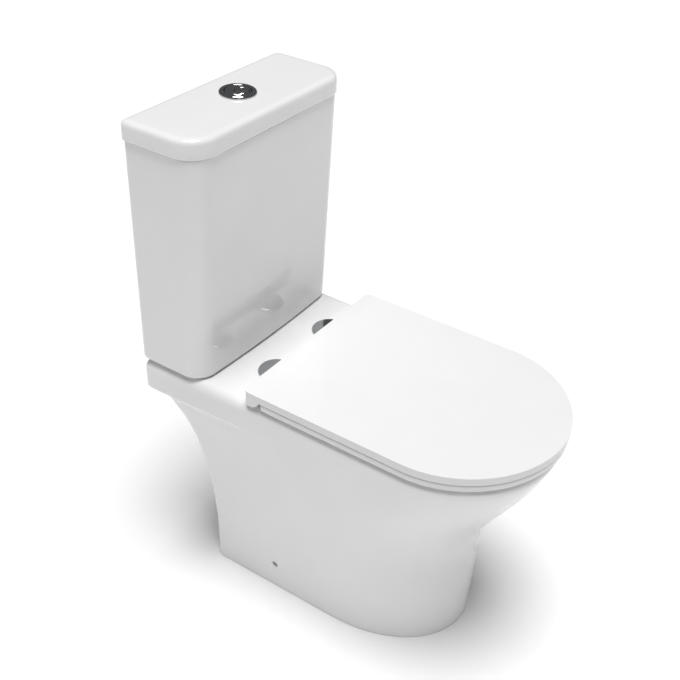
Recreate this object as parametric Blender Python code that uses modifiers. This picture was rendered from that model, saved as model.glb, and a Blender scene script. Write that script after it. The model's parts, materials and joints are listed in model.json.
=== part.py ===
"""Close coupled toilet: pan, cistern with its dual flush and fill valves, and a soft close seat.

Metres, +Z up, floor at z = 0, front towards -Y, symmetric about x = 0. Places along the depth are
given as a distance forward of the wall, and at() turns one into a y.
"""
import math

import bmesh
import bpy
from mathutils import Matrix, Vector

# ---------------------------------------------------------------- driving dimensions
OVERALL_DEPTH = 0.664          # wall to the front edge of the seat lid
RIM_HEIGHT = 0.4265            # floor to the top of the rim and of the deck
CISTERN_HEIGHT = 0.379         # the tank without its lid
TOUCH = 0.0003                 # gap that stands for two faces in contact
RUNNING = 0.0005               # gap all round a piece that turns or slides
OVERCUT = 0.010                # how far a cutter runs past the face that it goes through

# pan
WALL = 0.012                   # thickness of the ceramic
FOOT_HALF_WIDTH = 0.1343
FOOT_REAR = 0.105
FOOT_FRONT_SETBACK = 0.1105    # from the rim's front back to the foot's front
FOOT_ROUND = 0.1845            # depth of the foot's round front
SHELF_EDGE_HEIGHT = 0.0581     # upright rear edge of the shelf that carries the cistern
SHELF_HALF_WIDTH = 0.1785
RIM_HALF_WIDTH = 0.1765
RIM_ROUND = 0.1695             # depth of the rim's round front
SEAT_OVERHANG = 0.0015         # how far the seat lid stands past the rim
RIM_EDGE_RADIUS = 0.018
REAR_CORNER_RADIUS = 0.014
SIDE_BLEND = 0.1075            # from where the shelf's sides meet the bowl's to the foot's round front
FRONT_FLARE_START = 0.155      # height at which the front starts to sweep out
FRONT_FLARE_RISE = 0.308
FRONT_FLARE_POWER = 1.58
REAR_FLARE_POWER = 2.4
SIDE_FLARE_POWER = 1.5
SHELF_BLEND_POWER = 1.6
FRONT_ROUNDNESS = 2.05         # superellipse exponent of the D-shaped front
DECK_THICKNESS = 0.020
BACK_OPENING_HALF_WIDTH = 0.105
BACK_OPENING_DROP = 0.0284     # from the undercut's top down to the top of the back opening

# bowl, trap and water way
RIM_WIDTH = 0.0465             # from the rim's side to the bowl
RIM_FRONT_WIDTH = 0.0405
BOWL_REAR = 0.272
BOWL_DEPTH = 0.2615
BOWL_WALL = 0.010
BOWL_EDGE_RADIUS = 0.006
SUMP_HALF_WIDTH = 0.040
SUMP_REAR = 0.305
SUMP_FRONT = 0.400
TRAP_RADIUS = 0.030
TRAP_WALL = 0.008
TRAP_BEND = 0.043              # radius of the centre line's bends
TRAP_DIP = 0.018               # from the sump's floor down to the trap's lowest centre
TRAP_RISE = 0.123              # from the trap's lowest centre up to its highest
TRAP_FALL = 0.085              # from there down to the outlet's centre
OUTLET_END = 0.080
OUTLET_RADIUS = 0.042
DUCT_HALF_WIDTH = 0.024
DUCT_HEIGHT = 0.024
DUCT_COVER = 0.0285            # ceramic and nut room above the duct

# cistern
CISTERN_LIFT = 0.0025          # shadow gap between the deck and the cistern
CISTERN_HALF_WIDTH = 0.1800
CISTERN_SIDE_TAPER = 0.0015
CISTERN_DEPTH = 0.1372
CISTERN_FRONT_TAPER = 0.0102
CISTERN_BOW = 0.0035           # how far the front's middle stands out at the bottom
CISTERN_WALL = 0.009
CISTERN_CORNER_RADIUS = 0.040
CISTERN_REAR_RADIUS = 0.012
CISTERN_BOTTOM_RADIUS = 0.010
LID_OVERHANG = 0.0042
CISTERN_LID_HEIGHT = 0.0300
CISTERN_LID_EDGE = 0.009
CISTERN_LID_WALL = 0.011

# dual flush button
BUTTON_FORWARD = 0.0675
BEZEL_RADIUS = 0.0290
BEZEL_HEIGHT = 0.0045
BUTTON_RADIUS = 0.0205
BUTTON_SLEEVE_WALL = 0.0025
HALF_BUTTON_RADIUS = 0.0112
HALF_BUTTON_OFFSET = 0.0075
BUTTON_TRAVEL = 0.005
PUSH_ROD_RADIUS = 0.0028

# flush valve
VALVE_BASE_RADIUS = 0.037
VALVE_BASE_HEIGHT = 0.020
VALVE_SHANK_RADIUS = 0.0285
VALVE_SHANK_LENGTH = 0.024
VALVE_SHANK_WALL = 0.004
TOWER_RADIUS = 0.034
TOWER_NECK_RADIUS = 0.022
TOWER_WALL = 0.0025
TOWER_BODY_HEIGHT = 0.142
TOWER_DROP = 0.068             # from the tank's rim down to the tower's top
OVERFLOW_RADIUS = 0.0135
OVERFLOW_WALL = 0.0018
OVERFLOW_DROP = 0.108
BACK_NUT_RADIUS = 0.040
BACK_NUT_HEIGHT = 0.010

# fill valve
FILL_SIDE_ROOM = 0.050         # from the tank's side to the valve's centre
FILL_FORWARD = 0.064
FILL_TUBE_RADIUS = 0.0100
FILL_TUBE_WALL = 0.004
FILL_TAIL_LENGTH = 0.0315      # below the shelf plate
FILL_HEAD_DROP = 0.108         # from the tank's rim down to the head's bottom
FILL_HEAD_RADIUS = 0.016
FILL_HEAD_HEIGHT = 0.030
FLOAT_RADIUS = 0.028
FLOAT_WALL = 0.002
FLOAT_DROP = 0.140             # from the head's bottom down to the float's bottom
FLOAT_HEIGHT = 0.075
LEVER_REACH = 0.038
LEVER_LIFT = 0.009             # pivot above the head
LEVER_THICKNESS = 0.002
LEVER_HALF_WIDTH = 0.006
LEVER_PIN_RADIUS = 0.0012
FLOAT_ROD_RADIUS = 0.0015

# bolts that hold the cistern to the pan
COUPLING_SPACING = 0.150
COUPLING_RADIUS = 0.004
COUPLING_HEAD_RADIUS = 0.009
COUPLING_NUT_RADIUS = 0.011
COUPLING_TAIL = 0.024

# seat
SEAT_HALF_WIDTH = 0.176
SEAT_REAR = 0.2077
SEAT_ROUND = 0.1712            # depth of the seat's round front
SEAT_ROUNDNESS = 1.95
SEAT_CORNER_RADIUS = 0.012
SEAT_RISE = 0.0285             # from the rim up to the top of the closed lid
SEAT_LID_THICKNESS = 0.0130
SEAT_RING_THICKNESS = 0.0115
LID_GAP = 0.0015               # between the seat ring and the lid
RING_INSET = 0.0012
RING_SIDE_WIDTH = 0.068
RING_HOLE_REAR = 0.292
RING_FRONT_WIDTH = 0.072
SEAT_EDGE = 0.0018
SEAT_BUFFER_RADIUS = 0.009
LID_BUFFER_RADIUS = 0.006

# hinges
AXIS_FORWARD = 0.2212
AXIS_DROP = 0.0080             # from the lid's top down to the axis
LOBE_RADIUS = 0.0175
LOBE_CLEARANCE = 0.0009        # between the lid's lobes and the seat ring
LOBE_WEB = 0.015               # solid lid between a hinge pocket and its lobe
HINGE_SPACING = 0.150
PIN_RADIUS = 0.0030
LUG_RADIUS = 0.0052
LUG_WIDTH = 0.012
POST_WIDTH = 0.010
POST_RADIUS = 0.0045
POST_HALF_DEPTH = 0.0035
POCKET_SKIN = 0.0018           # what is left of the lid above a hinge pocket
DAMPER_RADIUS = 0.0056
DAMPER_ROOM = 0.018            # solid lobe past the damper's end
ROSETTE_RADIUS = 0.031
ROSETTE_FORWARD = 0.198
ROSETTE_HEIGHT = 0.005
ROSETTE_SKIN = 0.0010
ROSETTE_SLOPE = 0.0065         # width of the cap's sloping rim
HINGE_BASE_THICKNESS = 0.0018
SLEEVE_RADIUS = 0.0076

# floor fixing
SIDE_HOLE_FORWARD = 0.240
SIDE_HOLE_HEIGHT = 0.054
SIDE_HOLE_RADIUS = 0.0055
BRACKET_LENGTH = 0.040
BRACKET_THICKNESS = 0.005
BRACKET_TOE = 0.035
SIDE_SCREW_RADIUS = 0.0028

# ---------------------------------------------------------------- sizes that follow
RIM_FRONT = OVERALL_DEPTH - SEAT_OVERHANG
RIM_STRAIGHT_TO = RIM_FRONT - RIM_ROUND
FOOT_FRONT = RIM_FRONT - FOOT_FRONT_SETBACK
FOOT_STRAIGHT_TO = FOOT_FRONT - FOOT_ROUND
SIDE_BLEND_END = FOOT_STRAIGHT_TO - SIDE_BLEND
SHELF_UNDERSIDE = RIM_HEIGHT - SHELF_EDGE_HEIGHT
SHELF_PLATE_BOTTOM = RIM_HEIGHT - DECK_THICKNESS
BACK_OPENING_TOP = SHELF_UNDERSIDE - BACK_OPENING_DROP
BOWL_HALF_WIDTH = RIM_HALF_WIDTH - RIM_WIDTH
BOWL_FRONT = RIM_FRONT - RIM_FRONT_WIDTH
SUMP_HEIGHT = RIM_HEIGHT - BOWL_DEPTH
TRAP_DIP_HEIGHT = SUMP_HEIGHT - TRAP_DIP
TRAP_WEIR_HEIGHT = TRAP_DIP_HEIGHT + TRAP_RISE
OUTLET_HEIGHT = TRAP_WEIR_HEIGHT - TRAP_FALL
DUCT_TOP = RIM_HEIGHT - DUCT_COVER
DUCT_BOTTOM = DUCT_TOP - DUCT_HEIGHT

CISTERN_BOTTOM = RIM_HEIGHT + CISTERN_LIFT
CISTERN_FLOOR = CISTERN_BOTTOM + CISTERN_WALL
CISTERN_TOP = CISTERN_BOTTOM + CISTERN_HEIGHT
CISTERN_BOTTOM_HALF_WIDTH = CISTERN_HALF_WIDTH - CISTERN_SIDE_TAPER
CISTERN_BOTTOM_DEPTH = CISTERN_DEPTH - CISTERN_FRONT_TAPER
CISTERN_LID_BOTTOM = CISTERN_TOP + RUNNING
CISTERN_LID_TOP = CISTERN_LID_BOTTOM + CISTERN_LID_HEIGHT

VALVE_SEAT = CISTERN_FLOOR + TOUCH + VALVE_BASE_HEIGHT
TOWER_SHOULDER = VALVE_SEAT + TOWER_BODY_HEIGHT
TOWER_TOP = CISTERN_TOP - TOWER_DROP
OVERFLOW_TOP = CISTERN_TOP - OVERFLOW_DROP
FILL_ACROSS = FILL_SIDE_ROOM - CISTERN_HALF_WIDTH
FILL_TAIL_BOTTOM = SHELF_PLATE_BOTTOM - FILL_TAIL_LENGTH
FILL_HEAD_BOTTOM = CISTERN_TOP - FILL_HEAD_DROP
FLOAT_BOTTOM = FILL_HEAD_BOTTOM - FLOAT_DROP

SEAT_STRAIGHT_TO = OVERALL_DEPTH - SEAT_ROUND
SEAT_LID_TOP = RIM_HEIGHT + SEAT_RISE
SEAT_LID_BOTTOM = SEAT_LID_TOP - SEAT_LID_THICKNESS
RING_TOP = SEAT_LID_BOTTOM - LID_GAP
RING_BOTTOM = RING_TOP - SEAT_RING_THICKNESS
RING_HOLE_HALF_WIDTH = SEAT_HALF_WIDTH - RING_SIDE_WIDTH
RING_HOLE_FRONT = OVERALL_DEPTH - RING_FRONT_WIDTH
AXIS_HEIGHT = SEAT_LID_TOP - AXIS_DROP
HINGE_ACROSS = HINGE_SPACING / 2
LUG_INNER = HINGE_ACROSS + POST_WIDTH / 2 + RUNNING
POCKET_INNER = HINGE_ACROSS - POST_WIDTH / 2 - 0.006
POCKET_OUTER = LUG_INNER + LUG_WIDTH + RUNNING
LOBE_INNER_END = POCKET_OUTER + LOBE_WEB
DAMPER_LENGTH = SEAT_HALF_WIDTH - LOBE_INNER_END - DAMPER_ROOM


def at(forward):
    """The y of a place that far in front of the wall."""
    return OVERALL_DEPTH / 2 - forward


# ---------------------------------------------------------------- scene and materials
for old_object in list(bpy.data.objects):
    bpy.data.objects.remove(old_object, do_unlink=True)

toilet = bpy.data.collections.new("close_coupled_toilet")
cutters = bpy.data.collections.new("cutters")
bpy.context.scene.collection.children.link(toilet)
bpy.context.scene.collection.children.link(cutters)


def finish(name, colour, roughness, metallic=0.0):
    """A plain Principled material."""
    material = bpy.data.materials.new(name)
    material.use_nodes = True
    shader = material.node_tree.nodes["Principled BSDF"]
    shader.inputs["Base Color"].default_value = (*colour, 1.0)
    shader.inputs["Roughness"].default_value = roughness
    shader.inputs["Metallic"].default_value = metallic
    material.diffuse_color = (*colour, 1.0)
    return material


glaze = finish("white_glaze", (0.88, 0.88, 0.87), 0.08)
seat_plastic = finish("white_duroplast", (0.90, 0.90, 0.90), 0.18)
chrome = finish("chrome", (0.80, 0.81, 0.82), 0.08, 1.0)
grey_plastic = finish("grey_acetal", (0.55, 0.57, 0.60), 0.40)
white_plastic = finish("white_acetal", (0.85, 0.85, 0.84), 0.35)
blue_plastic = finish("blue_acetal", (0.12, 0.30, 0.60), 0.40)
rubber = finish("black_rubber", (0.03, 0.03, 0.03), 0.75)
buffer_rubber = finish("white_rubber", (0.78, 0.78, 0.76), 0.60)
brass = finish("brass", (0.72, 0.55, 0.25), 0.30, 1.0)
steel = finish("zinc_steel", (0.62, 0.63, 0.64), 0.35, 1.0)


# ---------------------------------------------------------------- modelling helpers
def place(name, mesh, material=None):
    """Put a mesh in the model, or with no material in the cutters' collection."""
    piece = bpy.data.objects.new(name, mesh)
    if material is None:
        cutters.objects.link(piece)
        piece.hide_render = True
        piece.display_type = "WIRE"
    else:
        mesh.materials.append(material)
        toilet.objects.link(piece)
        mesh.shade_smooth()
        mesh.set_sharp_from_angle(angle=math.radians(35))
    return piece


def mesh_from(name, form):
    """Turn a bmesh into a mesh whose faces point outwards."""
    bmesh.ops.recalc_face_normals(form, faces=form.faces)
    mesh = bpy.data.meshes.new(name)
    form.to_mesh(mesh)
    form.free()
    return mesh


def loft(name, rings, material=None):
    """A closed solid through rings that all have the same number of points."""
    form = bmesh.new()
    rows = [[form.verts.new(point) for point in ring] for ring in rings]
    count = len(rows[0])
    for lower, upper in zip(rows, rows[1:]):
        for index in range(count):
            after = (index + 1) % count
            form.faces.new((lower[index], lower[after], upper[after], upper[index]))
    form.faces.new(rows[0][::-1])
    form.faces.new(rows[-1])
    return place(name, mesh_from(name, form), material)


def prism(name, outline, bottom, top, material=None, edge=0.0):
    """A flat outline of (x, y) points stood up between two heights, with its top edge rounded."""
    form = bmesh.new()
    base = form.faces.new([form.verts.new((x, y, bottom)) for x, y in outline])
    raised = bmesh.ops.extrude_face_region(form, geom=[base])
    lifted = [item for item in raised["geom"] if isinstance(item, bmesh.types.BMVert)]
    bmesh.ops.translate(form, verts=lifted, vec=(0, 0, top - bottom))
    if edge:
        rim = [line for line in form.edges if all(abs(vert.co.z - top) < 1e-6 for vert in line.verts)]
        bmesh.ops.bevel(form, geom=rim, offset=edge, segments=2, profile=0.5, affect="EDGES")
    return place(name, mesh_from(name, form), material)


def block(name, low, high, material=None):
    """A box between two corners, given as (x, forward, z)."""
    form = bmesh.new()
    bmesh.ops.create_cube(form, size=1.0)
    first = Vector((low[0], at(low[1]), low[2]))
    last = Vector((high[0], at(high[1]), high[2]))
    size = last - first
    bmesh.ops.scale(form, vec=(abs(size.x), abs(size.y), abs(size.z)), verts=form.verts)
    bmesh.ops.translate(form, vec=(first + last) / 2, verts=form.verts)
    return place(name, mesh_from(name, form), material)


def rod(name, start, end, radius, material=None, segments=16):
    """A solid cylinder between two points, given as (x, forward, z)."""
    first = Vector((start[0], at(start[1]), start[2]))
    last = Vector((end[0], at(end[1]), end[2]))
    span = last - first
    form = bmesh.new()
    turn = span.to_track_quat("Z", "Y").to_matrix().to_4x4()
    bmesh.ops.create_cone(form, cap_ends=True, segments=segments, radius1=radius, radius2=radius,
                          depth=span.length, matrix=Matrix.Translation((first + last) / 2) @ turn)
    return place(name, mesh_from(name, form), material)


def turned(name, profile, across, forward, material=None, steps=24):
    """A turned solid: (radius, height) points down its outer side, closed by the axis or a bore."""
    mesh = bpy.data.meshes.new(name)
    count = len(profile)
    lines = [(index, index + 1) for index in range(count - 1)]
    if profile[0][0] > 0:
        lines.append((count - 1, 0))
    mesh.from_pydata([(radius, 0.0, height) for radius, height in profile], lines, [])
    piece = place(name, mesh, material)
    piece.location = (across, at(forward), 0.0)
    spin = piece.modifiers.new("turn", "SCREW")
    spin.steps = steps
    spin.render_steps = steps
    spin.use_merge_vertices = True
    spin.merge_threshold = 0.00001
    spin.use_smooth_shade = True
    return piece


def ring(name, inner, outer, bottom, top, across, forward, material=None, steps=24):
    """A washer or a plain sleeve."""
    profile = [(outer, top), (outer, bottom), (inner, bottom), (inner, top)]
    return turned(name, profile, across, forward, material, steps)


def cut(piece, cutter, operation="DIFFERENCE"):
    """Cut one piece with another, or join it on."""
    step = piece.modifiers.new(cutter.name, "BOOLEAN")
    step.operation = operation
    step.solver = "EXACT"
    step.object = cutter
    return piece


def hex_nut(name, across_flats, bore, bottom, top, across, forward, material):
    """A six-sided nut round a vertical bore."""
    form = bmesh.new()
    corner = across_flats / 2 / math.cos(math.pi / 6)
    bmesh.ops.create_cone(form, cap_ends=True, segments=6, radius1=corner, radius2=corner,
                          depth=top - bottom)
    bmesh.ops.translate(form, vec=(across, at(forward), (top + bottom) / 2), verts=form.verts)
    nut = place(name, mesh_from(name, form), material)
    margin = 0.002
    hole = rod(name + "_bore", (across, forward, bottom - margin), (across, forward, top + margin), bore)
    return cut(nut, hole)


def hang(name, point, pieces):
    """Parent the pieces of one moving body to an empty that stands on its joint."""
    joint = bpy.data.objects.new(name, None)
    joint.location = (point[0], at(point[1]), point[2])
    joint.empty_display_size = 0.02
    toilet.objects.link(joint)
    stand = Matrix.Translation(joint.location)
    for piece in pieces:
        piece.parent = joint
        piece.matrix_parent_inverse = stand.inverted()


def mirrored(half):
    """A closed outline from its half at +x, which runs from the rear middle to the front middle."""
    other = [(-x, forward) for x, forward in half[-2:0:-1]]
    return half + other


def superellipse(half_width, start, end, roundness, steps):
    """The front of a D: from the side at start round to the middle at end."""
    points = []
    for index in range(steps + 1):
        angle = math.pi / 2 * index / steps
        x = half_width * max(math.cos(angle), 0.0) ** (2 / roundness)
        points.append((x if index < steps else 0.0, start + (end - start) * math.sin(angle) ** (2 / roundness)))
    return points


def corner(centre_x, centre_forward, radius, start, end, steps):
    """An arc of a plan outline, with angles in degrees from +x towards the front."""
    points = []
    for index in range(steps + 1):
        angle = math.radians(start + (end - start) * index / steps)
        points.append((centre_x + radius * math.cos(angle), centre_forward + radius * math.sin(angle)))
    return points


def level(outline, height):
    """A plan outline at one height, as the points of a loft's ring."""
    return [(x, at(forward), height) for x, forward in outline]


# ---------------------------------------------------------------- pan
def sweep(share, power):
    """A rise from 0 to 1 that starts and ends gently."""
    share = min(max(share, 0.0), 1.0)
    rise = share ** power
    return rise / (rise + (1 - share) ** power)


def rear_flare(height):
    """How far the back of the pan has swept out to the shelf, from 0 at the foot to 1."""
    share = min(max(height / SHELF_UNDERSIDE, 0.0), 1.0)
    return 1 - math.sqrt(1 - share ** REAR_FLARE_POWER)


def pan_outline(height, inset=0.0, flare_height=None):
    """The pan's outer outline at a height. The inner skin insets it and lags its undercut."""
    flare = rear_flare(height if flare_height is None else flare_height)
    share = min(max(height / RIM_HEIGHT, 0.0), 1.0)
    front = sweep((height - FRONT_FLARE_START) / FRONT_FLARE_RISE, FRONT_FLARE_POWER)
    full = sweep((RIM_HEIGHT - FRONT_FLARE_START) / FRONT_FLARE_RISE, FRONT_FLARE_POWER)
    reach = front / full
    rear_width = FOOT_HALF_WIDTH + (SHELF_HALF_WIDTH - FOOT_HALF_WIDTH) * flare - inset
    side_width = FOOT_HALF_WIDTH + (RIM_HALF_WIDTH - FOOT_HALF_WIDTH) * share ** SIDE_FLARE_POWER - inset
    rear = FOOT_REAR * (1 - flare) + inset
    straight_to = FOOT_STRAIGHT_TO + (RIM_STRAIGHT_TO - FOOT_STRAIGHT_TO) * reach
    front_end = FOOT_FRONT + (RIM_FRONT - FOOT_FRONT) * reach - inset
    half = [(0.0, rear), (rear_width * 0.5, rear)]
    half += corner(rear_width - REAR_CORNER_RADIUS, rear + REAR_CORNER_RADIUS, REAR_CORNER_RADIUS, -90, 0, 3)
    side_start = rear + REAR_CORNER_RADIUS
    for index in range(1, 5):
        along = index / 4
        blend = sweep(along, SHELF_BLEND_POWER)
        forward = side_start + (SIDE_BLEND_END - side_start) * along
        half.append((rear_width + (side_width - rear_width) * blend, forward))
    half.append((side_width, (SIDE_BLEND_END + straight_to) / 2))
    half += superellipse(side_width, straight_to, front_end, FRONT_ROUNDNESS, 12)
    return mirrored(half)


def pan_levels():
    """Heights and insets of the outer skin: close together where the undercut turns quickly."""
    steps = 9
    levels = [(SHELF_UNDERSIDE * math.sin(math.pi / 2 * index / steps), 0.0) for index in range(steps + 1)]
    levels.append((RIM_HEIGHT - RIM_EDGE_RADIUS, 0.0))
    for index in range(1, 5):
        angle = math.pi / 2 * index / 4
        levels.append((RIM_HEIGHT - RIM_EDGE_RADIUS * (1 - math.sin(angle)), RIM_EDGE_RADIUS * (1 - math.cos(angle))))
    return levels


def bowl_outline(height, grow=0.0):
    """The bowl's egg-shaped outline, from the sump up to the rim."""
    share = min(max((RIM_HEIGHT - height) / (RIM_HEIGHT - SUMP_HEIGHT), 0.0), 1.0)
    half_width = SUMP_HALF_WIDTH + (BOWL_HALF_WIDTH - SUMP_HALF_WIDTH) * (1 - share ** 1.6) + grow
    rear = SUMP_REAR + (BOWL_REAR - SUMP_REAR) * (1 - share ** 2.0) - grow
    front = SUMP_FRONT + (BOWL_FRONT - SUMP_FRONT) * (1 - share ** 1.4) + grow
    middle = rear + (front - rear) * 0.45
    half = []
    for index in range(17):
        angle = math.pi * index / 16
        reach = middle - rear if index < 8 else front - middle
        x = 0.0 if index in (0, 16) else half_width * math.sin(angle)
        half.append((x, middle - reach * math.cos(angle)))
    return mirrored(half)


def bowl(name, grow, bottom, top, edge):
    """The bowl as a solid, either its hollow or, grown by its wall, its outside."""
    steps = 9
    heights = [bottom + (RIM_HEIGHT - edge - bottom) * math.sin(math.pi / 2 * index / steps) ** 1.3
               for index in range(steps + 1)]
    rings = [level(bowl_outline(height, grow), height) for height in heights]
    if edge:
        rings.append(level(bowl_outline(RIM_HEIGHT, grow + edge * 0.3), RIM_HEIGHT - edge * 0.3))
        rings.append(level(bowl_outline(RIM_HEIGHT, grow + edge), RIM_HEIGHT))
        rings.append(level(bowl_outline(RIM_HEIGHT, grow + edge), top))
    return loft(name, rings)


def tube(name, route, radii):
    """A round tube along points in the plane x = 0, made a mesh with its caps welded."""
    curve = bpy.data.curves.new(name, "CURVE")
    curve.dimensions = "3D"
    curve.bevel_depth = 1.0
    curve.bevel_resolution = 6
    curve.use_fill_caps = True
    spline = curve.splines.new("POLY")
    spline.points.add(len(route) - 1)
    for point, (forward, height), radius in zip(spline.points, route, radii):
        point.co = (0.0, at(forward), height, 1.0)
        point.radius = radius
    guide = bpy.data.objects.new(name + "_route", curve)
    cutters.objects.link(guide)
    bpy.context.view_layer.update()
    evaluated = guide.evaluated_get(bpy.context.evaluated_depsgraph_get())
    mesh = bpy.data.meshes.new_from_object(evaluated)
    bpy.data.objects.remove(guide, do_unlink=True)
    form = bmesh.new()
    form.from_mesh(mesh)
    bmesh.ops.remove_doubles(form, verts=form.verts, dist=0.00001)
    return place(name, mesh_from(name, form))


def bend(centre, radius, start, end, steps=6):
    """An arc of the trap's route in the plane x = 0, angles in degrees from forward towards up."""
    points = []
    for index in range(steps + 1):
        angle = math.radians(start + (end - start) * index / steps)
        points.append((centre[0] + radius * math.cos(angle), centre[1] + radius * math.sin(angle)))
    return points


def trap(name, grow, outlet_extra):
    """The trap from the sump, under and over its weir, to the outlet at the back."""
    dip = (SUMP_REAR - 0.010, TRAP_DIP_HEIGHT + TRAP_BEND)
    weir = (dip[0] - 2 * TRAP_BEND, TRAP_WEIR_HEIGHT - TRAP_BEND)
    last_bend = weir[1] - OUTLET_HEIGHT
    fall = (weir[0] - TRAP_BEND - last_bend, weir[1])
    route = [(dip[0] + TRAP_BEND, dip[1] + 0.010)]
    route += bend(dip, TRAP_BEND, 0, -180)
    route += bend(weir, TRAP_BEND, 0, 180)
    route += bend(fall, last_bend, 0, -90)[1:]
    radii = [TRAP_RADIUS + grow] * len(route)
    socket = fall[0] - 0.012
    route += [(socket, OUTLET_HEIGHT), (OUTLET_END - outlet_extra, OUTLET_HEIGHT)]
    radii += [OUTLET_RADIUS + grow, OUTLET_RADIUS + grow]
    return tube(name, route, radii)


def make_pan():
    """The pan: outer skin, bowl, trap and water way in one ceramic body, open below and behind."""
    rings = [level(pan_outline(height, inset), height) for height, inset in pan_levels()]
    pan = loft("pan", rings, glaze)
    bowl_body = bowl("bowl_body", BOWL_WALL, SUMP_HEIGHT - BOWL_WALL, RIM_HEIGHT, 0.0)
    trap_body = trap("trap_body", TRAP_WALL, 0.0)
    recess_radius = BACK_NUT_RADIUS + 0.006
    duct_half_width = recess_radius + WALL
    duct_body = block("duct_body", (-duct_half_width, WALL / 2, DUCT_BOTTOM - WALL),
                      (duct_half_width, BOWL_REAR + 0.030, RIM_HEIGHT - 0.001))

    hollow_top = RIM_HEIGHT - DECK_THICKNESS
    heights = [-0.010] + [hollow_top * math.sin(math.pi / 2 * index / 8) for index in range(1, 9)]
    hollow = loft("foot_hollow", [level(pan_outline(height, WALL, height - WALL), height) for height in heights])
    back = block("back_opening", (-BACK_OPENING_HALF_WIDTH, -0.05, -0.02),
                 (BACK_OPENING_HALF_WIDTH, FOOT_REAR + WALL + REAR_CORNER_RADIUS, BACK_OPENING_TOP))
    cut(hollow, back, "UNION")
    for body in (bowl_body, trap_body, duct_body):
        cut(hollow, body)

    cut(pan, trap_body, "UNION")
    cut(pan, hollow)
    cut(pan, bowl("bowl_hollow", 0.0, SUMP_HEIGHT, RIM_HEIGHT + 0.01, BOWL_EDGE_RADIUS))
    cut(pan, trap("trap_hollow", 0.0, 0.010))
    cut(pan, block("duct_hollow", (-DUCT_HALF_WIDTH, BUTTON_FORWARD, DUCT_BOTTOM),
                   (DUCT_HALF_WIDTH, BOWL_REAR + 0.020, DUCT_TOP)))
    cut(pan, rod("inlet_recess", (0, BUTTON_FORWARD, DUCT_TOP - 0.002), (0, BUTTON_FORWARD, RIM_HEIGHT + 0.01),
                 recess_radius, segments=32))
    for side in (-1, 1):
        tag = "left" if side < 0 else "right"
        through = (SHELF_PLATE_BOTTOM - 0.02, RIM_HEIGHT + 0.01)
        cut(pan, rod("bolt_hole_" + tag, (side * COUPLING_SPACING / 2, BUTTON_FORWARD, through[0]),
                     (side * COUPLING_SPACING / 2, BUTTON_FORWARD, through[1]), COUPLING_RADIUS + 0.003))
        cut(pan, rod("seat_hole_" + tag, (side * HINGE_ACROSS, ROSETTE_FORWARD, through[0]),
                     (side * HINGE_ACROSS, ROSETTE_FORWARD, through[1]), SLEEVE_RADIUS + 0.0004))
        cut(pan, rod("side_hole_" + tag, (side * (FOOT_HALF_WIDTH - 0.03), SIDE_HOLE_FORWARD, SIDE_HOLE_HEIGHT),
                     (side * (FOOT_HALF_WIDTH + 0.03), SIDE_HOLE_FORWARD, SIDE_HOLE_HEIGHT), SIDE_HOLE_RADIUS))
    cut(pan, rod("supply_hole", (FILL_ACROSS, FILL_FORWARD, SHELF_PLATE_BOTTOM - 0.04),
                 (FILL_ACROSS, FILL_FORWARD, RIM_HEIGHT + 0.01), 0.021))


# ---------------------------------------------------------------- cistern
def tank_outline(height, inset=0.0):
    """The cistern's plan at a height: round front corners, small rear ones, a front that bows."""
    share = (height - CISTERN_BOTTOM) / (CISTERN_TOP - CISTERN_BOTTOM)
    half_width = CISTERN_BOTTOM_HALF_WIDTH + (CISTERN_HALF_WIDTH - CISTERN_BOTTOM_HALF_WIDTH) * share - inset
    front = CISTERN_BOTTOM_DEPTH + (CISTERN_DEPTH - CISTERN_BOTTOM_DEPTH) * share - inset
    bow = CISTERN_BOW * (1 - 0.6 * share)
    rear_radius = max(CISTERN_REAR_RADIUS - inset, 0.003)
    front_radius = max(CISTERN_CORNER_RADIUS - inset, 0.003)
    return box_outline(half_width, inset, front, rear_radius, front_radius, bow)


def box_outline(half_width, rear, front, rear_radius, front_radius, bow=0.0):
    """A rectangle with rounded corners whose front may bow out in the middle."""
    half = [(0.0, rear)]
    half += corner(half_width - rear_radius, rear + rear_radius, rear_radius, -90, 0, 3)
    half += corner(half_width - front_radius, front - front_radius, front_radius, 0, 90, 7)
    for index in range(1, 5):
        x = (half_width - front_radius) * (1 - index / 4)
        half.append((x, front + bow * (1 - (1 - index / 4) ** 2)))
    return mirrored(half)


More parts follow.
